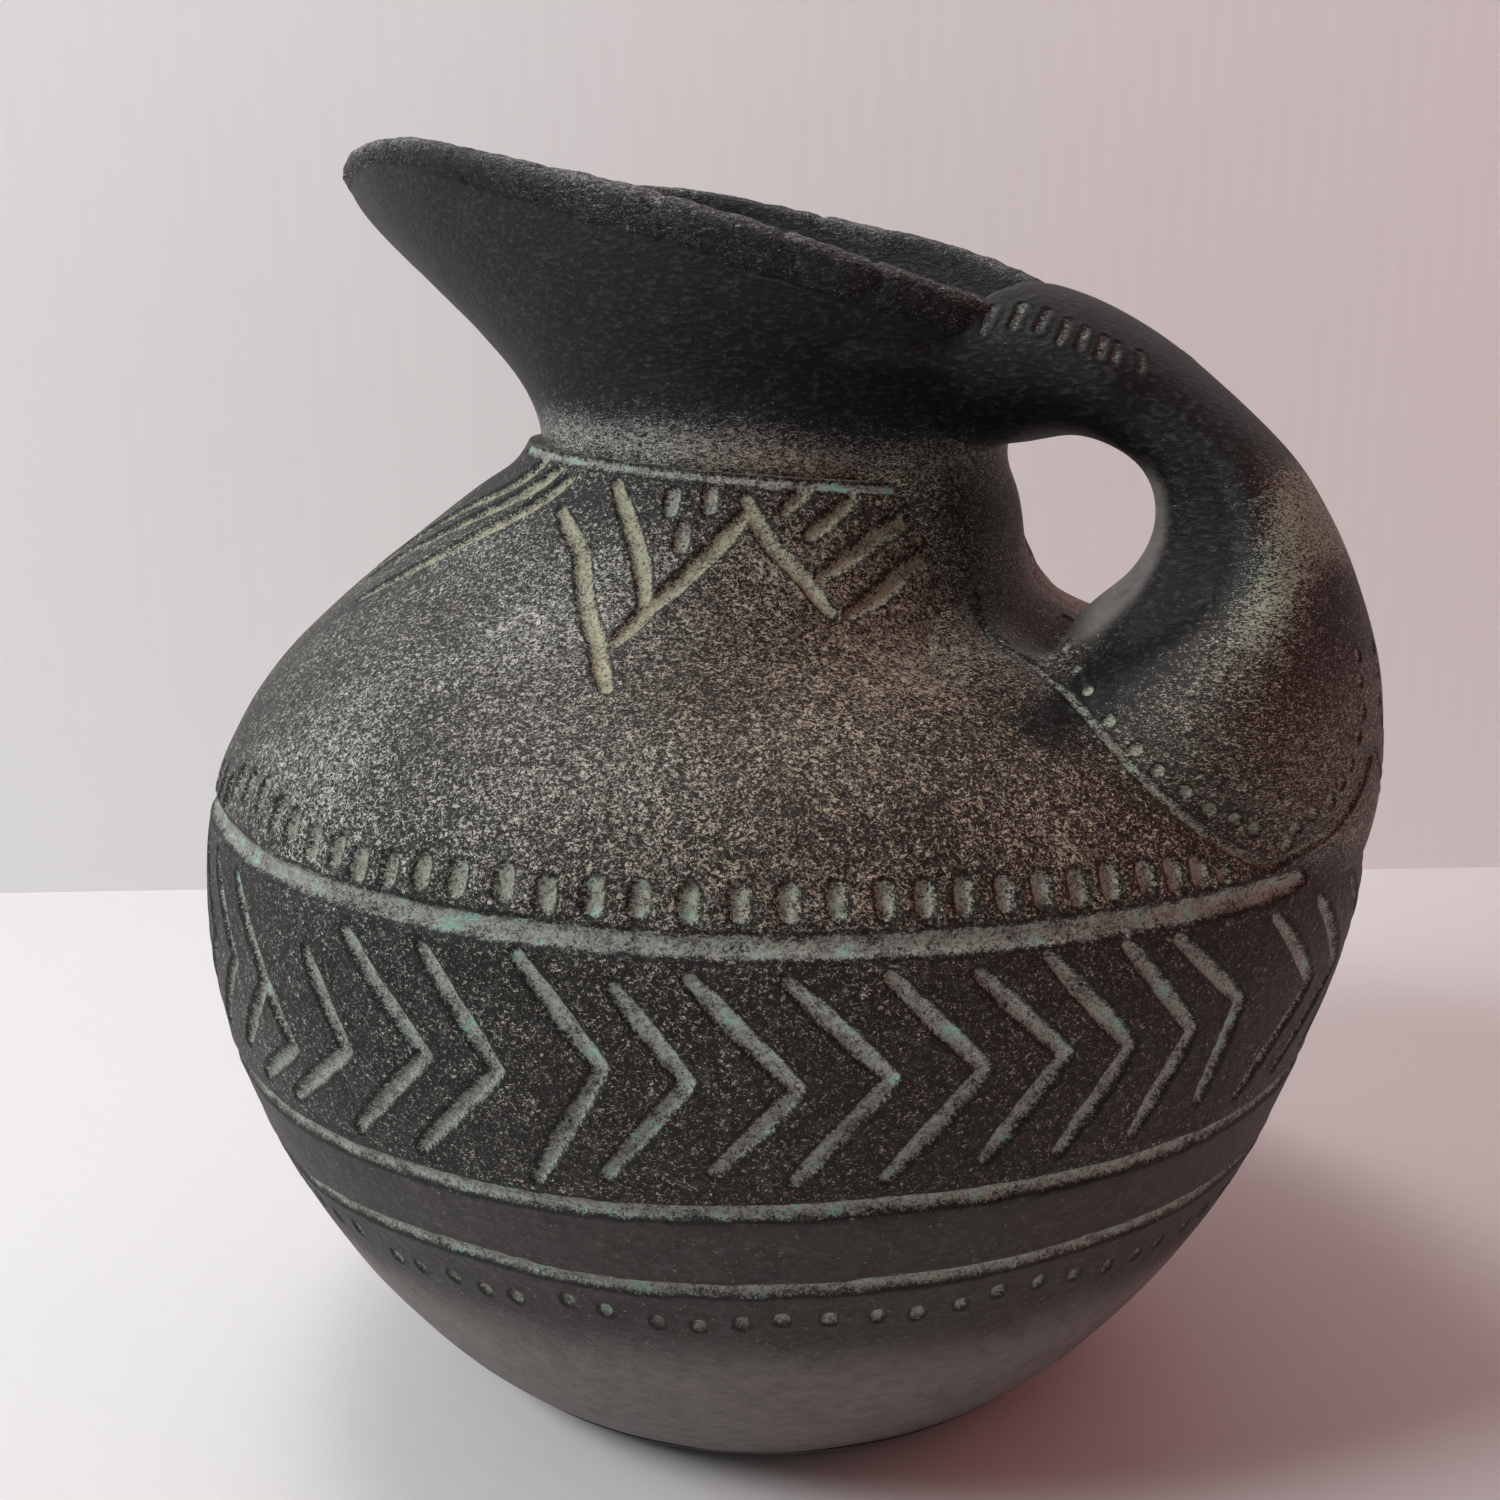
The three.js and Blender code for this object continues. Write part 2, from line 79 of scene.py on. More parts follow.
# %% Outline of the body
MM = 0.001
FOOT_RADIUS = 68
BELLY_RADIUS = 125.2
BELLY_HEIGHT = 108
SEAM_HEIGHT = 131.7
NECK_RADIUS = 52.5
NECK_HEIGHT = 203.5
WALL = 7
BASE_THICKNESS = 7


def bezier(corners, shares):
    a, b, c, d = [np.array(corner, float) for corner in corners]
    t = np.asarray(shares, float)[..., None]
    return a * (1 - t) ** 3 + 3 * b * t * (1 - t) ** 2 + 3 * c * t * t * (1 - t) + d * t**3


belly_out = BELLY_RADIUS - FOOT_RADIUS
neck_in = BELLY_RADIUS - NECK_RADIUS
neck_up = NECK_HEIGHT - BELLY_HEIGHT
lower_line = bezier(
    [
        (FOOT_RADIUS, 0),
        (FOOT_RADIUS + 0.235 * belly_out, 0.045 * BELLY_HEIGHT),
        (FOOT_RADIUS + 0.98 * belly_out, 0.5 * BELLY_HEIGHT),
        (BELLY_RADIUS, BELLY_HEIGHT),
    ],
    np.linspace(0, 1, 600),
)
upper_line = bezier(
    [
        (BELLY_RADIUS, BELLY_HEIGHT),
        (BELLY_RADIUS, BELLY_HEIGHT + 0.73 * neck_up),
        (NECK_RADIUS + 0.35 * neck_in, BELLY_HEIGHT + 0.51 * neck_up),
        (NECK_RADIUS, NECK_HEIGHT),
    ],
    np.linspace(0, 1, 600),
)
outline = np.vstack([lower_line, upper_line[1:]])
along = np.gradient(outline, axis=0)
along /= np.linalg.norm(along, axis=1)[:, None]
outward = np.stack([along[:, 1], -along[:, 0]], axis=1)


def wall_radius(height, depth=0):
    line = outline - outward * depth
    return np.interp(height, line[:, 1], line[:, 0])


def wall_outward(height):
    return np.stack([np.interp(height, outline[:, 1], outward[:, i]) for i in (0, 1)], -1)


print("widest radius", round(float(outline[:, 0].max()), 1), "mm")

# %% [markdown]
# ## What the hands did to it
# Nothing on the jug is truly round. The neck sinks towards the handle, the shoulder dips
# under the finger hole and the belly swells below the handle. A lattice could bend the
# pieces, but one rule for all of them keeps their joints shut, so the bending is a function.

# %% Bend a point of the round body into the real one
NECK_TILT = 0.0875
SHOULDER_DIP = 0.14
FINGER_DIP = 8.5
FINGER_DIP_RADIUS = 62
FINGER_DIP_REACH = 20
FINGER_DIP_ANGLE = math.radians(34)
FULLNESS = 2.8  # of the shoulder on both sides of the handle root
FULLNESS_RADIUS = 86
FULLNESS_ANGLE = math.radians(29)
FULLNESS_SPREAD = math.radians(20)
FULLNESS_REACH = 16
FULLNESS_LOW, FULLNESS_HIGH = 140, 160
SWELL = 9
SWELL_HEIGHT = 135
SWELL_REACH = 32
SWELL_ANGLE = math.radians(29)


def smooth_step(value, low, high):
    t = np.clip((value - low) / (high - low), 0, 1)
    return t * t * (3 - 2 * t)


def settle(points):
    x, y, z = np.asarray(points, float).T
    share = np.clip((z - SEAM_HEIGHT) / (NECK_HEIGHT - SEAM_HEIGHT), 0, 1) ** 2
    fall = NECK_TILT * share + SHOULDER_DIP * np.sin(math.pi * share) ** 2
    angle = np.arctan2(y, x)
    radius = np.hypot(x, y)
    near = smooth_step(radius, 0.8 * FOOT_RADIUS, 0.8 * BELLY_RADIUS)
    swell = np.exp(-(((z - SWELL_HEIGHT) / SWELL_REACH) ** 2) - (angle / SWELL_ANGLE) ** 2)
    push = SWELL * near * swell
    ring = ((radius - FINGER_DIP_RADIUS) / FINGER_DIP_REACH) ** 2
    press = np.exp(-ring - (angle / FINGER_DIP_ANGLE) ** 2) * np.sin(math.pi * share)
    beside = ((np.abs(angle) - FULLNESS_ANGLE) / FULLNESS_SPREAD) ** 2
    full = np.exp(-beside - ((radius - FULLNESS_RADIUS) / FULLNESS_REACH) ** 2)
    full = full * smooth_step(z, FULLNESS_LOW, FULLNESS_HIGH)
    new_z = z - fall * x - FINGER_DIP * press + FULLNESS * full
    return np.stack([x + push * np.cos(angle), y + push * np.sin(angle), new_z], axis=1)


def on_body(angles, heights, proud=0.0):
    """Points of the bent body at these angles in degrees and heights, this far proud of it."""
    turn = np.radians(np.asarray(angles, float))
    heights = np.asarray(heights, float)
    away = wall_outward(heights)
    radius = wall_radius(heights) + away[..., 0] * proud
    new_heights = heights + away[..., 1] * proud
    return settle(np.stack([radius * np.cos(turn), radius * np.sin(turn), new_heights], -1))


print("back of the neck sinks to", on_body([0], [NECK_HEIGHT]).round(1)[0])

# %% [markdown]
# ## Spinning a wall
# A wall between two joints is a closed outline: up the outside, over the joint, down the
# inside and back. It is drawn point by point with extrude and spun round the axis, like a
# template turned round a lump of clay. A lathe modifier would do the same, but the operator
# leaves a plain mesh that can be cut and pressed at once.

# %% Draw an outline and spin it
COLUMNS = 330
OUTER_STEP = 2.4
INNER_ROWS = 16


def deselect_all():
    if bpy.context.mode != "OBJECT":
        bpy.ops.object.mode_set(mode="OBJECT")
    bpy.ops.object.select_all(action="DESELECT")


def select_only(*pieces):
    """Selects these pieces, and makes the last one active."""
    deselect_all()
    for piece in pieces:
        piece.select_set(True)
    bpy.context.view_layer.objects.active = pieces[-1]


def coordinates(piece):
    found = np.empty(len(piece.data.vertices) * 3)
    piece.data.vertices.foreach_get("co", found)
    return found.reshape(-1, 3) / MM


def reshape(piece, points):
    piece.data.vertices.foreach_set("co", (np.asarray(points) * MM).ravel())
    piece.data.update()


def spin_wall(name, profile, columns):
    deselect_all()
    start = profile[0]
    bpy.ops.mesh.primitive_plane_add(size=1 * MM, location=(start[0] * MM, 0, start[1] * MM))
    piece = bpy.context.object
    piece.name = name
    bpy.ops.object.transform_apply(location=True, rotation=True, scale=True)
    bpy.ops.object.mode_set(mode="EDIT")
    bpy.ops.mesh.select_all(action="SELECT")
    bpy.ops.mesh.merge(type="CENTER")
    closed = [*profile[1:], profile[0]]
    for (radius, height), (last_radius, last_height) in zip(closed, profile):
        step = ((radius - last_radius) * MM, 0, (height - last_height) * MM)
        bpy.ops.mesh.extrude_region_move(TRANSFORM_OT_translate={"value": step})
    bpy.ops.mesh.select_all(action="SELECT")
    bpy.ops.mesh.remove_doubles(threshold=0.00001)
    bpy.ops.mesh.spin(
        steps=columns, angle=2 * math.pi, center=(0, 0, 0), axis=(0, 0, 1), use_auto_merge=True
    )
    bpy.ops.mesh.select_all(action="SELECT")
    bpy.ops.mesh.remove_doubles(threshold=0.00001)
    bpy.ops.mesh.normals_make_consistent(inside=False)
    bpy.ops.object.mode_set(mode="OBJECT")
    return piece


def even_heights(low, high, step):
    """Heights between two joints whose places on the outline are evenly spaced."""
    inside = (outline[:, 1] >= low) & (outline[:, 1] <= high)
    line = np.vstack([[wall_radius(low), low], outline[inside], [wall_radius(high), high]])
    run = np.concatenate([[0], np.cumsum(np.linalg.norm(np.diff(line, axis=0), axis=1))])
    places = np.linspace(0, run[-1], int(run[-1] / step) + 1)
    return np.interp(places, run, line[:, 1])


def wall_stretch(name, low, high):
    outside = even_heights(low, high, OUTER_STEP)
    inside = np.linspace(high, low, INNER_ROWS)
    profile = [(float(wall_radius(h)), float(h)) for h in outside]
    profile += [(float(wall_radius(h, WALL)), float(h)) for h in inside]
    return spin_wall(name, profile, COLUMNS)


lower_bowl = wall_stretch("lower_bowl_slipped", BASE_THICKNESS, SEAM_HEIGHT)
shoulder = wall_stretch("shoulder_slipped", SEAM_HEIGHT, NECK_HEIGHT)
for piece in (lower_bowl, shoulder):
    print(piece.name, len(piece.data.polygons), "faces")

# %% [markdown]
# ## The cuts
# The potter drew bands, chevrons, fans of strokes and rows of dots with a blunt tool about
# four millimetres wide. Every cut is kept as a line of points on the bent body, with the
# half width and depth of the tool. A bump texture would be quicker, but real cuts catch the
# light at their edges, so the mesh is made finer near them and pressed in.

# %% Lines that the tool followed, as angles and heights on the round body
TOOL_HALF = 1.9
TOOL_DEPTH = 1.15
BANDS = [  # half width, depth and the line round the jug
    (2.35, 1.25, (-180, 132.6), (-118, 133.6), (-104, 132.9), (-60, 132.2), (-36, 132.6),
     (-9, 133.4)),
    (2.2, 1.25, (24, 133), (60, 132.4), (120, 133), (180, 132.6)),
    (1.8, 1.1, (-180, 84), (-103, 83.6), (-79, 85), (-66, 85.6), (-46, 87.6), (-24, 87),
     (0, 86.3), (90, 85.2), (180, 84)),
    (1.8, 1.1, (-180, 67.6), (-105, 66.4), (-82, 69.4), (-66, 68.4), (-46, 70), (-27, 70.4),
     (0, 69), (90, 68.6), (180, 67.6)),
]
NECK_RING = [(-126, 202.2), (-93, 202.4), (-60, 202.3), (-35, 202.4), (-14, 202.2)]
LEAF_EDGE = [
    (-13.4, 172.5), (-21.6, 160.2), (-21.8, 153.8), (-20.4, 148.2), (-18.2, 143),
    (-15.2, 139.5), (-13, 137.2), (-6, 138.8),
]
CHEVRONS = [  # top, point and foot of each one in sight
    ((-105, 117), (-98.5, 101), (-106, 90)),
    ((-96, 121), (-90.8, 105.2), (-100, 90.2)),
    ((-91, 126.8), (-82.4, 108.8), (-91, 90.2)),
    ((-82.8, 127.2), (-75.8, 108.8), (-84, 90.5)),
    ((-74.4, 128.8), (-67.4, 111.8), (-73.2, 90)),
    ((-66.6, 125), (-61, 110.5), (-67.4, 92.8)),
    ((-61, 127.2), (-53, 109.8), (-59.2, 94.5)),
    ((-53.8, 127.2), (-46.2, 111.2), (-53.2, 93.2)),
    ((-46.4, 127.5), (-39.2, 111.5), (-46.4, 93.2)),
    ((-39.8, 127.2), (-32.8, 112.2), (-38.8, 94.8)),
    ((-34.4, 129), (-27.2, 111.5), (-32.4, 93.8)),
    ((-27.8, 129), (-21.4, 111.8), (-25.4, 94)),
    ((-23.2, 128.5), (-16.4, 114.8), (-18.6, 96.2)),
]
UPPER_DOTS = [
    (-115.8, 142.5), (-112, 143.2), (-108, 143.2), (-104, 141.5), (-100.8, 140.8), (-97, 139.2),
    (-93.6, 139.2), (-90.6, 138.2), (-87.2, 138.5), (-83.8, 139.2), (-80.2, 139.2),
    (-76, 139.8), (-72.4, 138.5), (-68.6, 139), (-65, 139), (-61.2, 138.5), (-57.4, 138.8),
    (-53.8, 139), (-50.2, 139.2), (-46.6, 139), (-43.6, 139.2), (-40.6, 139.2), (-37.4, 139.2),
    (-34.4, 139.2), (-31.4, 139), (-28.6, 139.5), (-25.4, 139.2), (-22.8, 139), (-20.4, 138.8),
    (-18, 138.8),
]
LOWER_DOTS = [
    (-93, 58.5), (-89.6, 58.8), (-85.2, 60.2), (-81.6, 59.5), (-78.2, 60), (-72.8, 62.5),
    (-69.4, 61.5), (-64.8, 60), (-61.2, 59.8), (-57.4, 61), (-54, 62), (-50, 62), (-45.8, 62),
    (-42.2, 61.5), (-38.2, 62), (-34.8, 63.5), (-30.6, 63), (-26.4, 62),
]
FAN_STROKES = [
    ((-98.4, 192.8), (-88.8, 187.2), (-83.6, 180.5), (-78.2, 175.2), (-73.4, 169)),
    ((-87.6, 199.5), (-81.2, 192.8), (-77, 187.8), (-74.2, 182)),
    ((-59.6, 197), (-67.2, 189.5), (-73.4, 181.8), (-75.8, 175.5)),
    ((-59.6, 199.5), (-55, 194), (-48.8, 190.2), (-45, 186.2)),
    ((-10.2, 198.8), (-28, 193.5), (-41.4, 186.5)),
    ((-18.8, 201), (-33.6, 196.5), (-45.6, 190.8)),
    ((-37.4, 200.8), (-47.2, 195.5)),
    ((-46.4, 202), (-51.6, 198.5)),
    ((-100.6, 199), (-126, 169.2)),
    ((-105.4, 200.3), (-135.4, 170.8)),
    ((-112.6, 200.8), (-142.2, 171.8)),
]
FAN_DOTS = [(-74.3, 197.8), (-66.6, 199), (-71, 192.8)]
CHEVRON_PITCH = 6.9 * 1.003  # a whole number of them fits round the back

chance = np.random.default_rng(7)


def spread(pattern, first, last, pitch, wobble):
    """Carries a pattern round the side that the photograph doesn't show."""
    copies = []
    middle = np.mean([corner[0] for corner in pattern])
    for angle in np.arange(first, last, pitch):
        shift = angle - middle + chance.uniform(-wobble, wobble)
        copies.append(tuple((a + shift, h + chance.uniform(-wobble, wobble)) for a, h in pattern))
    return copies


all_chevrons = CHEVRONS + spread(CHEVRONS[8], -10.5, 253, CHEVRON_PITCH, 0.6)
all_upper_dots = [(dot,) for dot in UPPER_DOTS] + spread([(0, 139)], 23, 243, 3.65, 0.4)
all_lower_dots = [(dot,) for dot in LOWER_DOTS] + spread([(0, 60.5)], -22.5, 265, 4.0, 0.5)
far_fans = [tuple((-a, h) for a, h in stroke) for stroke in FAN_STROKES]
beak_fans = [((166, 199.5), (180, 171)), ((194, 199.5), (181, 172))]
print(len(all_chevrons), "chevrons", len(all_upper_dots) + len(all_lower_dots), "dots")

# %% Points along every cut, with the size of the tool there
cut_points = []
cut_half = []
cut_depth = []
cut_patina = []
cut_ochre = []


def note_cut(point, half, depth, patina, ochre):
    """Keeps a place that the tool touched. The hand shook, so the width varies a little."""
    cut_points.append(point)
    cut_half.append(half * (1 + 0.16 * noise.noise(Vector(point) / 3.1)))
    cut_depth.append(depth)
    cut_patina.append(patina)
    cut_ochre.append(ochre)


def cut(line, half, depth, patina=1.0, ochre=0.0, taper=0.25, spacing=0.45):
    """Follows a line of (angle, height) with the tool, lighter at both ends."""
    angles, heights = np.array(line, float).T
    corners = on_body(angles, heights)
    runs = np.concatenate([[0], np.cumsum(np.linalg.norm(np.diff(corners, axis=0), axis=1))])
    steps = max(2, int(runs[-1] / spacing))
    places = np.linspace(0, runs[-1], steps)
    fine = on_body(np.interp(places, runs, angles), np.interp(places, runs, heights))
    for place, point in zip(places, fine):
        end = min(place, runs[-1] - place) / 4
        weight = 1 - taper * math.exp(-end * end)
        note_cut(point, half * weight, depth * weight, patina, ochre)


DOT_KINDS = [  # dots, half width, depth, length, ochre
    (all_upper_dots, 2.15, 1.3, 2.9, 0.3),
    (all_lower_dots, 1.6, 0.9, 0.8, 0),
    ([(dot,) for dot in FAN_DOTS], 1.9, 1.0, 2.6, 0.1),
]
LEAF_TOOL = {"half": 1.15, "depth": 0.8, "patina": 0.78}

for half, depth, *line in BANDS:
    cut(line, half, depth, taper=0.3)
for chevron in all_chevrons:
    cut(chevron[:2], TOOL_HALF, TOOL_DEPTH)
    cut(chevron[1:], TOOL_HALF, TOOL_DEPTH)
for stroke in FAN_STROKES + far_fans + beak_fans:
    cut(stroke, 2.0, 1.1, ochre=0.9)
for dots, half, depth, length, ochre in DOT_KINDS:
    for ((angle, height),) in dots:
        ends = [(angle, height - length / 2), (angle, height + length / 2)]
        cut(ends, half, depth, ochre=ochre, taper=0.1)
cut(LEAF_EDGE, **LEAF_TOOL, ochre=0.5)
cut(NECK_RING, 1.2, 0.5, taper=0.1)
print(len(cut_points), "points on the cuts")


def tree_of(first):
    """All cut points from the first of these on, ready to be searched."""
    tree = kdtree.KDTree(len(cut_points) - first)
    for i in range(first, len(cut_points)):
        tree.insert(cut_points[i], i)
    tree.balance()
    return tree


cuts = tree_of(0)

# %% Make the mesh finer near the cuts, bend it and press the cuts in
def bumps(points, *waves):
    """Noise of a few heights and lengths, in millimetres, added up at each point."""
    return np.array([sum(h * noise.noise(Vector(p) / run) for h, run in waves) for p in points])


def hand_waves(points):
    """How far the hand left each place too full or too flat."""
    return bumps(points, (0.45, 34), (0.16, 11)) - 0.25


def shade_smooth(piece):
    select_only(piece)
    bpy.ops.object.shade_smooth_by_angle(angle=math.radians(50))


def face_centres(piece):
    points = coordinates(piece)
    return np.array([points[list(f.vertices)].mean(axis=0) for f in piece.data.polygons])


def refine(piece, near, pieces_per_edge):
    select_only(piece)
    bpy.ops.object.mode_set(mode="EDIT")
    bpy.ops.mesh.select_mode(type="FACE")
    bpy.ops.mesh.select_all(action="DESELECT")
    bpy.ops.object.mode_set(mode="OBJECT")
    piece.data.polygons.foreach_set("select", near)
    bpy.ops.object.mode_set(mode="EDIT")
    bpy.ops.mesh.subdivide(number_cuts=pieces_per_edge - 1)
    bpy.ops.mesh.select_mode(type="VERT")
    bpy.ops.object.mode_set(mode="OBJECT")
    print(piece.name, len(piece.data.polygons), "faces after refining")


def store(piece, name, values):
    """Keeps a number for each point of a piece, which a material can read by its name."""
    layer = piece.data.attributes.get(name) or piece.data.attributes.new(name, "FLOAT", "POINT")
    layer.data.foreach_set("value", np.asarray(values, np.float32))


LIP_HEIGHT = 0.14  # of the clay that the tool pushes up beside a cut


def press_cuts(piece, placed, outward_of, tree):
    """Moves the points near a cut inwards, and notes where patina can settle."""
    patina = np.zeros(len(placed), np.float32)
    ochre = np.zeros(len(placed), np.float32)
    pressed = placed.copy()
    for i, (point, away) in enumerate(zip(placed, outward_of)):
        if away is None:
            continue
        best = None
        for _, index, distance in tree.find_n(point, 3):
            share = distance / cut_half[index]
            if best is None or share < best[0]:
                best = (share, index)
        share, index = best
        if share > 2:
            continue
        floor = 1 - smooth_step(share, 0.4, 1.1)
        lip = LIP_HEIGHT * math.exp(-(((share - 1.35) / 0.3) ** 2))
        pressed[i] = point + away * (lip - cut_depth[index] * floor)
        patina[i] = cut_patina[index] * (1 - smooth_step(share, 0.55, 1.25))
        ochre[i] = cut_ochre[index] * patina[i]
    store(piece, "patina", patina)
    store(piece, "ochre", ochre)
    return pressed


CUT_REACH = 3.6  # the mesh is made finer this near a cut


def finish_body(piece):
    centres = face_centres(piece)
    outside = np.hypot(centres[:, 0], centres[:, 1]) > wall_radius(centres[:, 2]) - WALL / 4
    bent = settle(centres)
    near = [bool(o) and cuts.find(c)[2] < CUT_REACH for o, c in zip(outside, bent)]
    refine(piece, near, 3)
    points = coordinates(piece)
    angle = np.arctan2(points[:, 1], points[:, 0])
    radius = np.hypot(points[:, 0], points[:, 1])
    outside = radius > wall_radius(points[:, 2]) - 0.5
    true_radius = np.where(outside, wall_radius(points[:, 2]), radius)
    points[:, 0] = true_radius * np.cos(angle)
    points[:, 1] = true_radius * np.sin(angle)
    away = wall_outward(points[:, 2])
    away = np.stack([away[:, 0] * np.cos(angle), away[:, 0] * np.sin(angle), away[:, 1]], 1)
    placed = settle(points)
    faces_out = [a if out else None for a, out in zip(away, outside)]
    pressed = press_cuts(piece, placed, faces_out, cuts)
    waves = hand_waves(placed)
    pressed[:, :2] += (waves * outside)[:, None] * np.stack([np.cos(angle), np.sin(angle)], 1)
    reshape(piece, pressed)
    shade_smooth(piece)


for piece in (lower_bowl, shoulder):
    finish_body(piece)
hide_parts("lower_bowl")
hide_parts("shoulder")
for piece in (lower_bowl, shoulder):
    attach(piece, "root")

# %% [markdown]
# ## The beaked mouth
# The mouth is a collar of clay set on the neck and drawn out into a long spout, so no two of
# its cross sections are alike. It could be lofted from curves. Here a straight collar is spun
# like the walls, and each of its points is then led to its place between the neck and the
# sloping rim, which keeps the faces even. The tip of the beak droops a little.

# %% Lines from the neck joint up to the rim
NECK_JOINT_RADIUS = 49.8
SPOUT_REACH = 119.6
MOUTH_BACK = 72
MOUTH_HALF_WIDTH = 59
MOUTH_PINCH = 0.17
RIM_HEIGHT = 255.8
RIM_SLOPE = 0.237
BACK_CURL = 9
BACK_CURL_START = 0
TIP_CURL = 19.3
TIP_CURL_START = -44
TIP_NARROWING = 0.067
TIP_NARROWING_START = 80
THROAT_RISE = 25
FLARE_REACH = 0.85
FLARE_DROP = 0.6
SPOUT_THROAT_CUT = 7.2
SPOUT_REACH_CUT = -0.08
SPOUT_DROP_CUT = 0.343
SPOUT_THICKENING = 0.2


def rim_height(x):
    back = np.maximum(0, (x - BACK_CURL_START) / (MOUTH_BACK - BACK_CURL_START))
    tip = np.maximum(0, (x - TIP_CURL_START) / (-SPOUT_REACH - TIP_CURL_START))
    return RIM_HEIGHT - RIM_SLOPE * x - BACK_CURL * back**2 - TIP_CURL * tip**2


def rim_plan(turn):
    middle = (MOUTH_BACK - SPOUT_REACH) / 2
    half = (MOUTH_BACK + SPOUT_REACH) / 2
    width = MOUTH_HALF_WIDTH * (1 + MOUTH_PINCH * np.cos(turn))
    x = middle + half * np.cos(turn)
    width = width * (1 - TIP_NARROWING * smooth_step(-x, TIP_NARROWING_START, SPOUT_REACH))
    return np.stack([x, width * np.sin(turn)], -1)


def rim_point(turn, depth):
    ahead = rim_plan(turn + 0.01) - rim_plan(turn - 0.01)
    ahead /= np.linalg.norm(ahead, axis=-1)[..., None]
    edge = rim_plan(turn)
    plan = edge + np.stack([-ahead[..., 1], ahead[..., 0]], -1) * np.asarray(depth)[..., None]
    return np.concatenate([plan, rim_height(plan[..., 0])[..., None]], -1)


def mouth_line(turn, radius, depth, shares):
    x = radius * np.cos(turn)
    foot = np.stack([x, radius * np.sin(turn), NECK_HEIGHT - NECK_TILT * x], -1)
    rim = rim_point(turn, depth)
    at_spout = ((1 - np.cos(turn)) / 2) ** 2
    upright = foot.copy()
    upright[..., 2] += THROAT_RISE - SPOUT_THROAT_CUT * at_spout
    flare = foot + (rim - foot) * (FLARE_REACH - SPOUT_REACH_CUT * at_spout)[..., None]
    drop = FLARE_DROP - SPOUT_DROP_CUT * at_spout
    flare[..., 2] = rim[..., 2] + (foot[..., 2] - rim[..., 2]) * drop
    return bezier((foot, upright, flare, rim), shares)


def mouth_point(turn, shares, depth):
    """A point of the mouth at a share of its height, this deep in its wall."""
    turn, shares, depth = np.broadcast_arrays(turn, shares, depth)
    zero = np.zeros(turn.shape)
    outer = mouth_line(turn, NECK_JOINT_RADIUS, zero, shares)
    thick = WALL * (1 + SPOUT_THICKENING * (1 - np.cos(turn)))  # at the rim
    inner = mouth_line(turn, float(wall_radius(NECK_HEIGHT, WALL)), thick, shares)
    return outer + (inner - outer) * (depth / WALL)[..., None]


def share_below_rim(turn, height):
    places = np.linspace(0, 1, 60)
    line = mouth_point(turn[:, None], places[None, :], 0)
    length = np.linalg.norm(np.diff(line, axis=1), axis=2).sum(axis=1)
    return 1 - height / length


# %% Spin a straight collar and draw it out into the mouth
RIM_COIL_HEIGHT = 7
RIM_COIL_PROUD = 0.7
COLLAR_RADIUS = 50
MOUTH_COLUMNS = 300
COLLAR_HEIGHT = 100

rows = np.linspace(0, COLLAR_HEIGHT, 46)
collar = [(COLLAR_RADIUS, h) for h in rows] + [(COLLAR_RADIUS - WALL, h) for h in rows[::-2]]
mouth = spin_wall("beaked_mouth_smoked", collar, MOUTH_COLUMNS)
points = coordinates(mouth)
turn = np.arctan2(points[:, 1], points[:, 0])
depth = COLLAR_RADIUS - np.hypot(points[:, 0], points[:, 1])
top = share_below_rim(turn, RIM_COIL_HEIGHT / 2)
placed = mouth_point(turn, points[:, 2] / COLLAR_HEIGHT * top, np.clip(depth, 0, WALL))
outer_face = depth < 0.5 * WALL
waves = hand_waves(placed) * 1.1 * outer_face
placed[:, :2] += waves[:, None] * np.stack([np.cos(turn), np.sin(turn)], 1)
reshape(mouth, placed)
print("mouth", len(mouth.data.polygons), "faces")

# %% [markdown]
# ## The coil on the rim
# The lip is a coil laid on last. It dried before the rest and cracked, and the slip has worn
# off it, so it is the roughest part of the jug. A texture alone would leave its outline too
# clean, so its mesh is fine enough for real dents and cracks.

# %% Spin the coil, lay it on the rim and rough it up
COIL_SIDES = 26
COIL_COLUMNS = 620
COIL_RADIUS = 3.5
COIL_MIDDLE = 50
CRACKS = (-121, -97, -84, -66, -49, -38, -141, -20, 24, 47, 88, 129, 158)
CRACK_DEPTH = 0.75

coil_loop = []
for step in range(COIL_SIDES):
    around = 2 * math.pi * step / COIL_SIDES
    out, up = COIL_RADIUS * math.cos(around), COIL_RADIUS * math.sin(around)
    coil_loop.append((COLLAR_RADIUS + out, COIL_MIDDLE + up))
rim_coil = spin_wall("rim_coil_worn", coil_loop, COIL_COLUMNS)
points = coordinates(rim_coil)
turn = np.arctan2(points[:, 1], points[:, 0])
out = (np.hypot(points[:, 0], points[:, 1]) - COLLAR_RADIUS) / COIL_RADIUS
up = (points[:, 2] - COIL_MIDDLE) / COIL_RADIUS


def squarish(value, other):
    """Turns a round section into one with flatter sides."""
    reach = np.maximum(np.abs(value), np.abs(other))
    return value * (0.45 + 0.55 / np.maximum(reach, 0.2))


at_tip = smooth_step(-np.cos(turn), 0.8, 0.98)
sideways = np.clip(squarish(out, up) * (1 - at_tip) + out * at_tip, -1, 1)
upward = np.clip(squarish(up, out) * (1 - at_tip) + up * at_tip, -1, 1)
low = share_below_rim(turn, RIM_COIL_HEIGHT)
share = low + (1 - low) * (upward + 1) / 2
proud = RIM_COIL_PROUD * (1 - at_tip) * np.clip(sideways, 0, 1)
depth = WALL * (1 - sideways) / 2 - proud * (1 - upward**2)
placed = mouth_point(turn, share, depth)


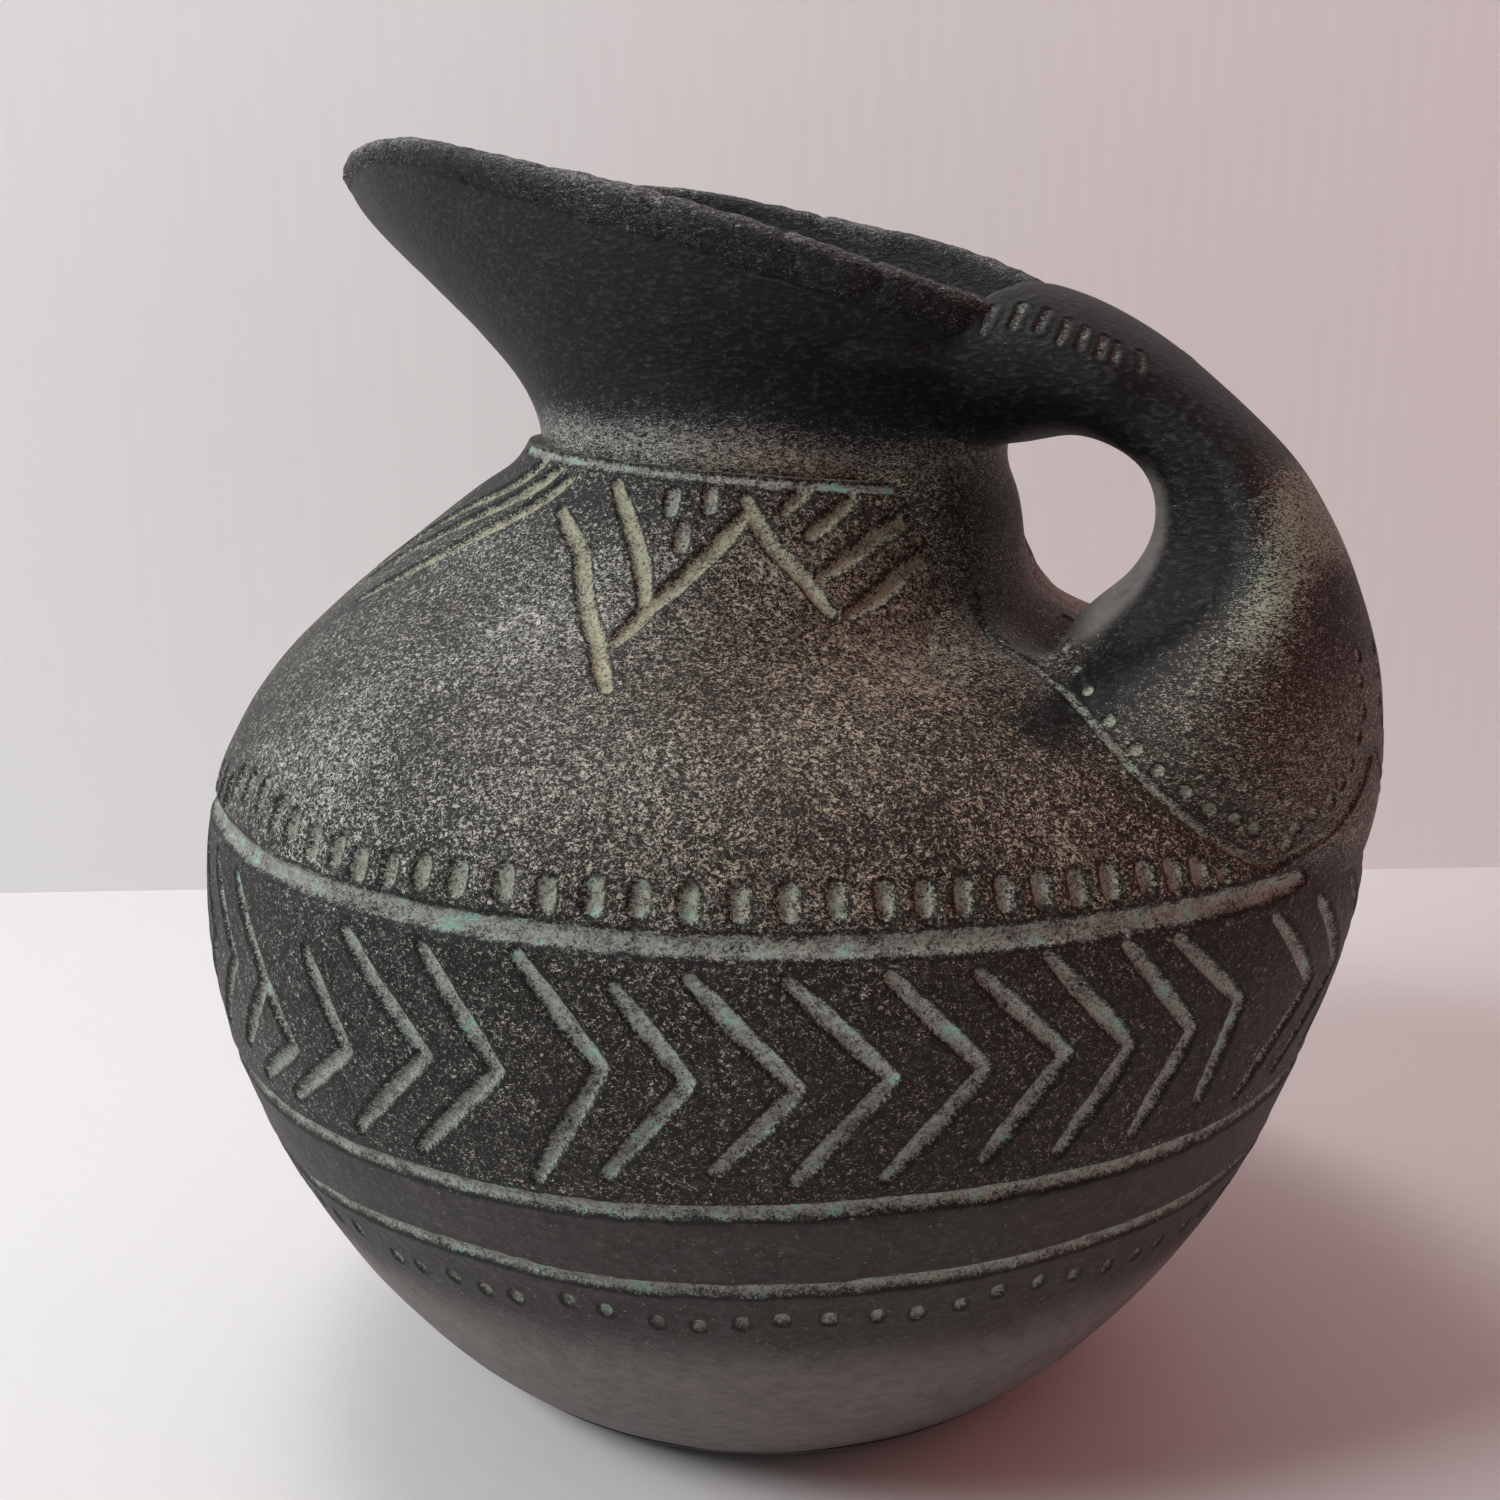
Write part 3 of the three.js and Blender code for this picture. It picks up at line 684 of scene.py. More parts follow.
def cracks(turn, places, width):
    """1 at each crack across the coil, which wanders a little over its height."""
    found = np.zeros(len(turn))
    for place in places:
        away = np.abs(np.degrees(turn) - place - 1.1 * np.sin(3 * upward + place)) / width
        found = np.maximum(found, np.clip(1 - away, 0, 1))
    return found


cracked = cracks(turn, CRACKS, 0.9)
rough = bumps(placed, (0.34, 5.5), (0.26, 2.2))
centre = mouth_point(turn, (low + 1) / 2, np.full(len(turn), WALL / 2))
away = placed - centre
away /= np.linalg.norm(away, axis=1)[:, None]
placed += away * (rough - CRACK_DEPTH * cracked - 0.15)[:, None]
reshape(rim_coil, placed)
print("rim coil", len(rim_coil.data.polygons), "faces")

# %% [markdown]
# ## The handle
# The handle is a thick roll of clay pressed flat against the mouth, bent down and spread on
# the shoulder into a leaf, with all joints smeared smooth by a thumb. A boolean union would
# leave hard creases, so the roll and two thin pads that hug the mouth and the shoulder are
# joined, remeshed as one lump of clay and smoothed where they meet.

# %% Draw the roll of clay through its stations
HANDLE_STATIONS = [  # outer line and inner line as distance and height, and half width
    ((64, 238.3), (50, 207), 29),
    ((77, 233.5), (60, 206.5), 27),
    ((92, 224.3), (75, 208.5), 23.5),
    ((112.5, 207), (88, 203.5), 20),
    ((122.5, 193.5), (92, 194), 20),
    ((128.5, 180.5), (88, 184), 24),
    ((132.5, 166), (78, 174), 35),
    ((134, 152), (72, 156), 41),
    ((134.5, 140), (84, 142), 32),
    ((133, 129.5), (100, 132), 13),
]
HANDLE_WIDEST = 0.62  # share of the way from the inner to the outer line
HANDLE_SIDES = 72
HANDLE_STEPS = 90


def smooth_line(knots, shares):
    """A curve through the knots, evenly timed between them."""
    knots = np.asarray(knots, float)
    padded = np.vstack([2 * knots[0] - knots[1], knots, 2 * knots[-1] - knots[-2]])
    place = np.asarray(shares) * (len(knots) - 1)
    i = np.clip(place.astype(int), 0, len(knots) - 2)
    t = (place - i)[:, None]
    a, b, c, d = padded[i], padded[i + 1], padded[i + 2], padded[i + 3]
    return 0.5 * (
        2 * b + (c - a) * t + (2 * a - 5 * b + 4 * c - d) * t**2 + (3 * b - a - 3 * c + d) * t**3
    )


deselect_all()
bpy.ops.mesh.primitive_circle_add(
    vertices=HANDLE_SIDES, radius=20 * MM, location=(0, 0, 0), fill_type="NGON"
)
handle = bpy.context.object
handle.name = "handle_smoked"
bpy.ops.object.mode_set(mode="EDIT")
bpy.ops.mesh.select_all(action="SELECT")
for _ in range(HANDLE_STEPS):
    bpy.ops.mesh.extrude_region_move(TRANSFORM_OT_translate={"value": (0, 0, MM)})
bpy.ops.object.mode_set(mode="OBJECT")
points = coordinates(handle)
share = np.clip(points[:, 2] / HANDLE_STEPS, 0, 1)
turn = np.arctan2(points[:, 1], points[:, 0])
outer = smooth_line([s[0] for s in HANDLE_STATIONS], share)
inner = smooth_line([s[1] for s in HANDLE_STATIONS], share)
half_width = smooth_line([(s[2], 0) for s in HANDLE_STATIONS], share)[:, 0]
axis = outer - inner
middle = inner + axis * HANDLE_WIDEST
reach = np.where(np.cos(turn) > 0, 1 - HANDLE_WIDEST, HANDLE_WIDEST)
flat = middle + axis * (np.cos(turn) * reach)[:, None]
placed = np.stack([flat[:, 0], np.sin(turn) * half_width, flat[:, 1]], 1)
reshape(handle, placed)
bpy.ops.object.mode_set(mode="EDIT")
bpy.ops.mesh.select_all(action="SELECT")
bpy.ops.mesh.normals_make_consistent(inside=False)
bpy.ops.object.mode_set(mode="OBJECT")
print("roll of clay", len(handle.data.polygons), "faces")

# %% Two pads that hug the mouth and the shoulder
PAD_THICKNESS = 6
LEAF_HEIGHTS = [129, 133.5, 137, 141, 148, 156, 166, 176, 186, 196]
LEAF_SPREADS = [10, 16, 20, 24, 28, 31, 35, 37, 31, 20]
VALLEY_FILL = 8.5  # clay pressed into the corner between handle and shoulder
VALLEY_ANGLE = 14
VALLEY_SPREAD = 13
VALLEY_HEIGHT = 172
VALLEY_REACH = 12
COLLAR_FILL = 6
COLLAR_HEIGHTS = [-1, -0.3, 0, 0.25, 0.6, 1]
COLLAR_SPREADS = [22, 26, 38, 52, 56, 48]
COLLAR_BELOW_NECK = 26


def wavy(points):
    around = np.arctan2(points[:, 1], points[:, 0])
    out = np.stack([np.cos(around), np.sin(around), 0 * around], 1)
    return points + hand_waves(points)[:, None] * out


def pad(name, place):
    """A thin square of clay laid on a surface: place gives its points for -1 to 1 both ways."""
    deselect_all()
    bpy.ops.mesh.primitive_grid_add(x_subdivisions=60, y_subdivisions=60, size=2 * MM)
    piece = bpy.context.object
    piece.name = name
    u, v, _ = coordinates(piece).T
    reshape(piece, place(u, v))
    thickness = piece.modifiers.new("thickness", "SOLIDIFY")
    thickness.thickness = PAD_THICKNESS * MM
    thickness.offset = -1
    bpy.ops.object.modifier_apply(modifier=thickness.name)
    return piece


def sunk_edge(u, v, start):
    """A pad stands proud of what carries it and sinks into it at its edge."""
    edge = np.maximum(np.abs(u), np.abs(v))
    return 0.4 - 2.6 * smooth_step(edge, start, 1)


def leaf_place(u, v):
    low, high = LEAF_HEIGHTS[0], LEAF_HEIGHTS[-1]
    height = low + (high - low) * (v + 1) / 2
    angle = u * np.interp(height, LEAF_HEIGHTS, LEAF_SPREADS)
    sideways = (np.abs(angle) - VALLEY_ANGLE) / VALLEY_SPREAD
    fill = np.exp(-(sideways**2) - ((height - VALLEY_HEIGHT) / VALLEY_REACH) ** 2)
    fill = VALLEY_FILL * fill
    return wavy(on_body(angle, height, sunk_edge(u, v, 0.7) + fill))


def collar_place(u, v):
    """From the shoulder over the neck joint up the back of the mouth."""
    turn = u * np.radians(np.interp(v, COLLAR_HEIGHTS, COLLAR_SPREADS))
    fill = COLLAR_FILL * (1 - smooth_step(np.abs(u), 0.3, 0.95))
    fill = fill * smooth_step(v, -0.6, 0.1) * (1 - smooth_step(v, 0.7, 1))
    proud = sunk_edge(u, v, 0.6) + fill
    on_mouth = mouth_point(turn, 0.04 + 0.86 * np.clip(v, 0, 1), -proud)
    height = NECK_HEIGHT + COLLAR_BELOW_NECK * np.clip(v, -1, 0)
    on_shoulder = on_body(np.degrees(turn), height, proud)
    blend = smooth_step(v, -0.25, 0.2)[:, None]
    return wavy(on_shoulder * (1 - blend) + on_mouth * blend)


leaf_pad = pad("leaf_pad", leaf_place)
collar_pad = pad("collar_pad", collar_place)
for piece in (leaf_pad, collar_pad):
    box = coordinates(piece)
    print(piece.name, box.min(0).round(1), box.max(0).round(1))

# %% Join them into one lump and smooth the joints
select_only(leaf_pad, collar_pad, handle)
bpy.ops.object.join()
lump = handle.modifiers.new("lump", "REMESH")
lump.mode = "VOXEL"
lump.voxel_size = 1.05 * MM  # fine enough for the leaf line, once refined beside it
bpy.ops.object.modifier_apply(modifier=lump.name)
print("lump", len(handle.data.polygons), "faces")
soften = handle.modifiers.new("thumb", "SMOOTH")
soften.factor = 0.5
soften.iterations = 55
bpy.ops.object.modifier_apply(modifier=soften.name)

# %% [markdown]
# ## Marks on the handle
# A thumb was drawn round the finger hole and left a flute with a ridge beside it. Then the
# potter drew a line round the root, which makes two leaves that meet at the back, and a row
# of dots inside it. The marks are given as places near the surface and are snapped onto it.

# %% Flute, leaf line and dots
LEAF_LINE = [
    (64, -14, 178.5), (72, -21, 173.5), (81.1, -28, 168.3), (88.6, -33, 162.6),
    (100, -40.2, 156.1), (107, -42.3, 151.7), (112.8, -41.2, 147.1), (118, -37.6, 142.4),
    (122.2, -32.1, 138.9), (124.7, -27, 136.8), (129.8, -19.1, 140.2),
    (133.2, -8.8, 146.7), (133.6, -0.6, 153),
]
LEAF_DOTS = [
    (70.5, -16, 177), (78.5, -21.5, 173), (86, -26, 168.5), (92.3, -32.3, 164.2),
    (98.4, -37.1, 160.3), (104.3, -39.8, 156.6), (108.6, -40.4, 153.8), (113, -39.6, 150.8),
    (116.5, -37.6, 147.9), (119.9, -34.7, 146.2), (122.5, -31.7, 144.2), (124.2, -24.1, 141.1),
    (127.4, -25.2, 143.5), (129.3, -22.4, 145.8), (131.1, -18.1, 147.5), (132, -15, 150),
    (132.4, -11.9, 152.9), (132.6, -8.6, 157.2), (132.5, -6, 161.2), (131.5, -6.2, 166.6),
    (130.6, -5.5, 171),
]
TOP_DOTS = [
    (66.4, -21.2, 234.1), (70, -17.3, 233.1), (74, -16, 232), (78.1, -15.7, 230.1),
    (81.1, -14.9, 228.8), (84.5, -14.3, 227.4), (86.6, -13.5, 226.1), (89.9, -11.1, 224.5),
]
FLUTE = [
    (95.9, -20.5, 212.1), (102.3, -19.5, 205.8), (105.8, -19.1, 198.1), (107, -20, 190.4),
    (105.9, -22.8, 182.7), (97.5, -28, 174.5), (88, -25, 172),
]
FLUTE_HALF = 6.5
FLUTE_DEPTH = 3.2
MARK_REACH = 2.6  # the mesh is made finer this near a mark


def both_sides(places):
    return [list(places), [(x, -y, z) for x, y, z in places]]


def snapped(places):
    found = [handle.closest_point_on_mesh(Vector(place) * MM)[1] for place in places]
    return np.array(found) / MM


def fine_line(places, spacing=0.45):
    length = np.linalg.norm(np.diff(places, axis=0), axis=1).sum()
    return snapped(smooth_line(places, np.linspace(0, 1, int(length / spacing))))


def mark(points, half, depth, patina):
    for point in points:
        note_cut(point, half, depth, patina, 0.55 * patina)


def outward_normals(piece):
    found = np.empty(len(piece.data.vertices) * 3)
    piece.data.vertices.foreach_get("normal", found)
    return found.reshape(-1, 3)


flutes = [fine_line(side, 1.5) for side in both_sides(FLUTE)]
points = coordinates(handle)
normals = outward_normals(handle)
flute_share = np.zeros(len(points))
for side in flutes:
    for start in range(0, len(points), 20000):
        some = points[start : start + 20000]
        gap = np.linalg.norm(some[:, None] - side[None], axis=2).min(axis=1)
        share = np.exp(-((gap / FLUTE_HALF) ** 2))
        flute_share[start : start + 20000] = np.maximum(flute_share[start : start + 20000], share)
reshape(handle, points - normals * (FLUTE_DEPTH * flute_share)[:, None])

first_mark = len(cut_points)
near_line, far_line = both_sides(LEAF_LINE)
mark(fine_line(near_line), **LEAF_TOOL)
mark(fine_line(far_line[1:]), **LEAF_TOOL)
near_dots, far_dots = both_sides(LEAF_DOTS)
for place in near_dots + far_dots:
    mark(snapped([place]), 1.4, 0.8, 1)
for x, y, z in [dot for side in both_sides(TOP_DOTS) for dot in side]:
    stroke = [(x, y * (1 + drop / 20), z - drop) for drop in np.linspace(2, 6.5, 9)]
    mark(snapped(stroke), 1.0, 0.35, 0.6)
marks = tree_of(first_mark)
near = [marks.find(centre)[2] < MARK_REACH for centre in face_centres(handle)]
refine(handle, near, 2)
points = coordinates(handle)
reshape(handle, press_cuts(handle, points, outward_normals(handle), marks))
print(len(cut_points) - first_mark, "points on the marks", len(handle.data.polygons), "faces")

# %% Foot slab
slab_profile = [(0.01, 0), (FOOT_RADIUS - 1.2, 0), (FOOT_RADIUS - 0.2, 0.4)]
slab_profile += [(float(wall_radius(h)), float(h)) for h in np.linspace(1.2, BASE_THICKNESS, 6)]
slab_profile += [(0.01, BASE_THICKNESS)]
base_slab = spin_wall("base_slab_smoothed", slab_profile, 240)
print("base slab", len(base_slab.data.polygons), "faces")

for piece in (mouth, rim_coil, handle, base_slab):
    shade_smooth(piece)
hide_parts("beaked_mouth")
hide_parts("rim_coil")
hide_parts("handle")
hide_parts("base_slab")
for piece in (mouth, rim_coil, handle, base_slab):
    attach(piece, "root")

# %% [markdown]
# ## What each place of the surface looks like
# One firing and one rubbing gave every piece its look, so the finish depends on the place on the
# jug and not on the piece. The smoke is darkest on the mouth, the grit shows most where a cloth
# rubbed hardest, and the clay is warmer towards the handle. Some numbers also carry painted light
# and shade: lighter patches beside the root of the handle, a paler ridge on the handle and a
# paler spout are painted light, and a darker flute round the finger hole and a darker lower body
# from the handle side round the back are painted shade. Painted textures are out of the question
# here, so each point keeps a few numbers that its material reads.

# %% Numbers for smoke, grit, warmth, bare clay and painted light and shade at each point
FINGER_HOLE = (75, 192)  # distance and height of its middle
HOLE_WALL = (21.5, 25)  # where the bare wall of the hole ends, from that middle
FLUTE_RADIUS = 31
RIDGE_RADIUS = 46
# Painted light: two lighter patches of grit beside the root of the handle, on the shoulder that
# the mouth shades.
LIT_PATCHES = ((57, -39, 170), (57, 39, 170))  # beside the root of the handle
LIT_PATCH_REACH = 20


def patch(points, place, reach):
    """1 at a place, fading out over its reach, in millimetres."""
    away = (points - np.array(place)) / np.array(reach)
    return np.exp(-(away**2).sum(axis=1))


def dress(piece, worn_rim=False):
    points = coordinates(piece)
    x, y, z = points.T
    angle = np.degrees(np.arctan2(y, x))
    above_neck = z - (NECK_HEIGHT - NECK_TILT * x)
    cloud = np.array([noise.noise(Vector(p) / 23) for p in points])
    smoke = smooth_step(above_neck + 5 * cloud, -1, 12)
    on_handle = smooth_step(z, 160, 190) * smooth_step(x, 60, 80) * (piece is handle)
    smoke = np.maximum(smoke, 0.75 * on_handle)
    grit = 0.38 + 0.24 * smooth_step(z, 128, 141) * (1 - smooth_step(z, 185, 200))
    grit = grit * (1 - 0.25 * cloud) * (1 - 0.35 * smooth_step(np.abs(angle), 100, 130))
    # Painted shade: less grit, so a darker surface, below the seam from the handle side round the
    # back, the side away from the light.
    grit = grit * (1 - 0.35 * smooth_step(angle, -45, -15) * (1 - smooth_step(z, 128, 140)))
    grit = grit * (1 - 0.75 * (1 - smooth_step(z, 84, 88)))
    grit += 0.45 * np.exp(-(((above_neck - 4) / 6) ** 2))
    grit = grit * (1 - 0.85 * smooth_step(above_neck + 4 * cloud, 6, 18))
    grit = grit * (1 - 0.6 * on_handle) * (0.85 if piece is handle else 1)
    # Painted light: lighter patches beside the root of the handle.
    grit += sum(0.22 * patch(points, place, LIT_PATCH_REACH) for place in LIT_PATCHES)
    around_hole = np.hypot(x - FINGER_HOLE[0], z - FINGER_HOLE[1])
    # Painted shade in the flute round the finger hole, which the flare of the mouth shades.
    flute = np.exp(-(((around_hole - FLUTE_RADIUS) / 7) ** 2)) * smooth_step(x, 82, 92)
    # A painted highlight along the ridge of the handle: more grit, less smoke and a greenish tint
    # make it paler.
    on_ridge = np.exp(-(((around_hole - RIDGE_RADIUS) / 6) ** 2)) * smooth_step(x, 96, 106)
    on_ridge = on_ridge * (1 - smooth_step(z, 208, 230)) * smooth_step(z, 162, 184)
    on_ridge = np.clip(on_ridge * (1 + 1.2 * cloud), 0, 1)
    in_hole = (1 - smooth_step(around_hole, *HOLE_WALL)) * smooth_step(x, 76, 88)
    in_hole = in_hole * (1 - smooth_step(np.abs(y), 20, 27)) * smooth_step(z, 166, 174)
    in_hole = in_hole * (1 - smooth_step(z, 199, 208))
    if piece is handle:
        # Painted shade in the flute: more smoke, less grit.
        smoke = np.maximum(smoke, flute)
        grit = grit * (1 - 0.9 * flute)
        # Painted highlight on the ridge: more grit, less smoke.
        grit += 0.6 * on_ridge
        smoke = smoke * (1 - 0.65 * on_ridge)
    # Painted light: more grit, so a paler grey, towards the spout high on the mouth, which the
    # window and the table light.
    grit += 0.22 * smooth_step(-x, 30, 100) * smooth_step(above_neck, 20, 50)
    if worn_rim:
        on_top = smooth_step(z - rim_height(x), -3, -0.5)
        grit = 0.3 + 0.3 * cloud + 0.3 * smooth_step(-x, 40, 110) + 0.3 * on_top
        smoke = 0.9 - 0.3 * smooth_step(-x, 20, 100)
    warmth = smooth_step(angle, -95, -45) * (1 - smooth_step(angle, 60, 150))
    bare = 1 - smooth_step(z + 3 * cloud, 40, 62)
    bare = np.maximum(bare, 0.2 * (1 - smooth_step(z, 82, 87)))
    if piece is handle:
        bare = np.maximum(bare, in_hole)
        smoke = smoke * (1 - in_hole)
        grit = grit * (1 - in_hole)
    warmth = warmth + 0.3 * cloud
    # The painted highlight on the handle's ridge is kept for the material.
    store(piece, "ridge_highlight", on_ridge * (piece is handle))
    for name, values in zip(("smoke", "grit", "warmth", "bare"), (smoke, grit, warmth, bare)):
        store(piece, name, np.clip(values, 0, 1))
    for name in ("patina", "ochre"):
        if not piece.data.attributes.get(name):
            store(piece, name, np.zeros(len(points)))


for piece in (lower_bowl, shoulder, mouth, handle, base_slab):
    dress(piece)
dress(rim_coil, worn_rim=True)
print("each point keeps", [layer.name for layer in rim_coil.data.attributes])

# %% [markdown]
# ## Slip, smoke and patina
# The slip is fired clay: no metal, a refractive index near that of quartz and a satin, uneven
# gloss. Grit of under a millimetre breaks through it where it was rubbed, and to the eye that
# turns black into a speckled grey. The patina in the cuts is a dry, chalky green-grey. An
# image could hold such a pattern, but noise in real millimetres fits every piece.

# %% A node with its settings and links, and colours from hex
def fill_inputs(node, values):
    """Gives a node's inputs their values, or links them to the outputs of other nodes."""
    for key, value in values.items():
        if isinstance(value, bpy.types.NodeSocket):
            node.id_data.links.new(value, node.inputs[key])
        else:
            node.inputs[key].default_value = value


def add_node(tree, kind, values, output=0, **settings):
    """Adds a node with its settings and inputs, and gives one of its outputs."""
    made = tree.nodes.new("ShaderNode" + kind)
    for name, value in settings.items():
        setattr(made, name, value)
    fill_inputs(made, values)
    return made.outputs[output]


def new_material(name):
    """A new material, its shader and add_node for its tree."""
    material = bpy.data.materials.new(name)
    material.use_nodes = True
    tree = material.node_tree
    return material, tree.nodes["Principled BSDF"], partial(add_node, tree)


def colour(text):
    """A colour from its sRGB hex value, made linear."""
    shares = [int(text[i : i + 2], 16) / 255 for i in (1, 3, 5)]
    linear = [s / 12.92 if s <= 0.04045 else ((s + 0.055) / 1.055) ** 2.4 for s in shares]
    return (*linear, 1)


print("black slip", [round(c, 3) for c in colour("#1b1b1a")])

# %% Fired slip, rubbed back to the grit
MIX = {"data_type": "RGBA"}  # 0, 6 and 7 take the share and two colours, output 2 is the mix
RAMP = {"interpolation_type": "SMOOTHSTEP"}  # 0, 1 and 2 take a value and its limits
TIMES = {"operation": "MULTIPLY"}
TIMES_PLUS = {"operation": "MULTIPLY_ADD"}
GRAINS = {"Scale": 1.5, "Detail": 4, "Roughness": 0.75, "Distortion": 1.0}  # 0.7 mm grit
CLUMPS = {"Scale": 0.22, "Detail": 4, "Roughness": 0.6}  # 5 mm patches of it
LUMPS = {"Scale": 0.55, "Detail": 3, "Roughness": 0.55}  # 2 mm lumps in the clay


def rubbed_slip(name, roughness, relief, stretch):
    """Slip whose grains are this much flatter than they are wide."""
    material, shader, node = new_material(name)
    place = node("TexCoord", {}, "Object")
    place = node("Mapping", {"Vector": place, "Scale": (1000, 1000, 1000 * stretch)})
    grains, clumps, lumps = [
        node("TexNoise", {"Vector": place, **kind}) for kind in (GRAINS, CLUMPS, LUMPS)
    ]
    smoke, grit, warmth, bare, patina, ochre, ridge_highlight = [
        node("Attribute", {}, "Fac", attribute_name=key)
        for key in ("smoke", "grit", "warmth", "bare", "patina", "ochre", "ridge_highlight")
    ]
    # The slip: near black, browner where it is warm, grey where it is bare or hazy, and blacker
    # where it is smoked or carries painted shade.
    slip = colour("#1b1b1a")
    for share, other in ((warmth, "#221c18"), (bare, "#77716e"), (smoke, "#121213")):
        slip = node("Mix", {0: share, 6: slip, 7: colour(other)}, 2, **MIX)
    dim = node("Mix", {0: 0.35, 6: slip, 7: colour("#000000")}, 2, **MIX)
    cloudy = node("MapRange", {0: clumps, 1: 0.35, 2: 0.75}, **RAMP)
    slip = node("Mix", {0: cloudy, 6: slip, 7: dim}, 2, **MIX)
    haze = node("MapRange", {0: lumps, 1: 0.48, 2: 0.72}, **RAMP)
    haze = node("Math", {0: haze, 1: 0.1}, **TIMES)
    slip = node("Mix", {0: haze, 6: slip, 7: colour("#8d8e8c")}, 2, **MIX)
    # The grit that shows through: pale, duller in some places, and tinted green along the
    # handle's ridge as a painted highlight.
    pale = colour("#c2c1b6")
    for share, other in ((warmth, "#b5a691"), (smoke, "#8a8b8a")):
        pale = node("Mix", {0: share, 6: pale, 7: colour(other)}, 2, **MIX)
    dull = node("Mix", {0: 0.55, 6: pale, 7: slip}, 2, **MIX)
    clean = node("MapRange", {0: lumps, 1: 0.35, 2: 0.6}, **RAMP)
    pale = node("Mix", {0: clean, 6: dull, 7: pale}, 2, **MIX)
    # Painted highlight: the pale grit turns greenish along the handle's ridge.
    pale = node("Mix", {0: ridge_highlight, 6: pale, 7: colour("#9aa08c")}, 2, **MIX)
    edge = node("Math", {0: grit, 1: -0.22, 2: 0.725}, **TIMES_PLUS)
    edge = node("Math", {0: clumps, 1: -0.1, 2: edge}, **TIMES_PLUS)
    specks = node("Math", {0: grains, 1: edge}, operation="SUBTRACT")
    specks = node("MapRange", {0: specks, 1: -0.03, 2: 0.03}, **RAMP)
    surface = node("Mix", {0: specks, 6: slip, 7: pale}, 2, **MIX)
    # Painted shade at the edges of the cuts, where the walls of the grooves fall in shadow, and a
    # broken film of patina inside them.
    cut_edge_shade = node("MapRange", {0: patina, 1: 0.02, 2: 0.2}, **RAMP)
    at_edge = node("MapRange", {0: patina, 1: 0.75, 2: 0.35}, **RAMP)
    cut_edge_shade = node("Math", {0: cut_edge_shade, 1: at_edge}, **TIMES)
    cut_edge_shade = node("Math", {0: cut_edge_shade, 1: 0.65}, **TIMES)
    surface = node("Mix", {0: cut_edge_shade, 6: surface, 7: colour("#0f0e0e")}, 2, **MIX)
    film = node("Math", {0: patina, 1: 0.8}, **TIMES)
    film = node("Math", {0: grains, 1: 2.2, 2: film}, **TIMES_PLUS)
    film = node("Math", {0: clumps, 1: 0.8, 2: film}, **TIMES_PLUS)
    film = node("MapRange", {0: film, 1: 1.9, 2: 2.5}, **RAMP)
    in_cut = node("MapRange", {0: patina, 1: 0.1, 2: 0.4}, **RAMP)
    film = node("Math", {0: film, 1: in_cut}, **TIMES)
    chalk = colour("#a5a79c")
    green = node("MapRange", {0: clumps, 1: 0.56, 2: 0.68}, **RAMP)
    for share, other in ((green, "#93b8aa"), (ochre, "#b0ad92")):
        chalk = node("Mix", {0: share, 6: chalk, 7: colour(other)}, 2, **MIX)
    surface = node("Mix", {0: film, 6: surface, 7: chalk}, 2, **MIX)
    # Grit and patina are duller than the slip, and stand out a little.
    gloss = node("Math", {0: grains, 1: 0.25, 2: roughness - 0.125}, **TIMES_PLUS)
    gloss = node("Math", {0: film, 1: 0.25, 2: gloss}, **TIMES_PLUS)
    height = node("Math", {0: grains, 1: 0.10 * relief}, **TIMES)
    height = node("Math", {0: lumps, 1: 0.30 * relief, 2: height}, **TIMES_PLUS)
    bump = node("Bump", {"Height": height, "Distance": 0.001, "Strength": 1.0})
    fill_inputs(shader, {"Base Color": surface, "Roughness": gloss, "Normal": bump})
    fill_inputs(shader, {"IOR": 1.5, "Specular IOR Level": 0.2})
    return material


SLIPS = [  # name, roughness, relief, how flat the grains are, and the pieces
    ("rubbed black slip over pale grit", 0.55, 1.6, 1.25, (lower_bowl, shoulder, base_slab)),
    ("smoked satin slip", 0.5, 1.2, 2.2, (mouth, handle)),
    ("worn and cracked slip on the rim", 0.62, 2.4, 2.6, (rim_coil,)),
]
for *look, pieces in SLIPS:
    material = rubbed_slip(*look)
    for piece in pieces:
        piece.data.materials.clear()
        piece.data.materials.append(material)
    print(material.name, "on", [piece.name for piece in pieces])

# %% [markdown]
# ## The coil inside
# The coil that binds bowl and shoulder is only seen from within. It never got slip, so it is
# the plain dark clay with the grit and the dents that fingers left in it. The solid serves
# for it as it is.

# %% Unslipped clay for the seam coil
def bare_clay(name):
    material, shader, node = new_material(name)
    place = node("TexCoord", {}, "Object")
    grains = node("TexNoise", {"Vector": place, "Scale": 900, "Detail": 3, "Roughness": 0.7})
    dents = node("TexNoise", {"Vector": place, "Scale": 90, "Detail": 2})
    tone = node("ValToRGB", {"Fac": grains})
    stops = ((0.42, "#2a2623"), (0.7, "#6b635a"))
    for made, (position, text) in zip(tone.node.color_ramp.elements, stops):
        made.position = position
        made.color = colour(text)
    bump = node("Bump", {"Height": dents, "Distance": 0.0015, "Strength": 0.8})
    fill_inputs(shader, {"Base Color": tone, "Roughness": 0.85, "IOR": 1.5, "Normal": bump})
    return material


seam_coil = bpy.data.objects["seam_coil"]
seam_coil.data.materials.clear()
seam_coil.data.materials.append(bare_clay("unslipped gritty clay"))
print(seam_coil.name, "is", seam_coil.data.materials[0].name)

# %% [markdown]
# ## Where it stands
# The jug stands on a pale table against a pale wall, which is nearly square to the view. Both
# are plain, so one plane each is enough. They are made white and a little warm, because what
# they throw back fills the shadows on the jug. The wall is clear from its back, so that the
# jug can be looked at from behind.

# %% A table and a wall
WALL_FOOT = (-0.185, 0.257)  # a place of the line where the wall meets the table
WALL_HEADING = 38.2  # degrees, the way that line runs


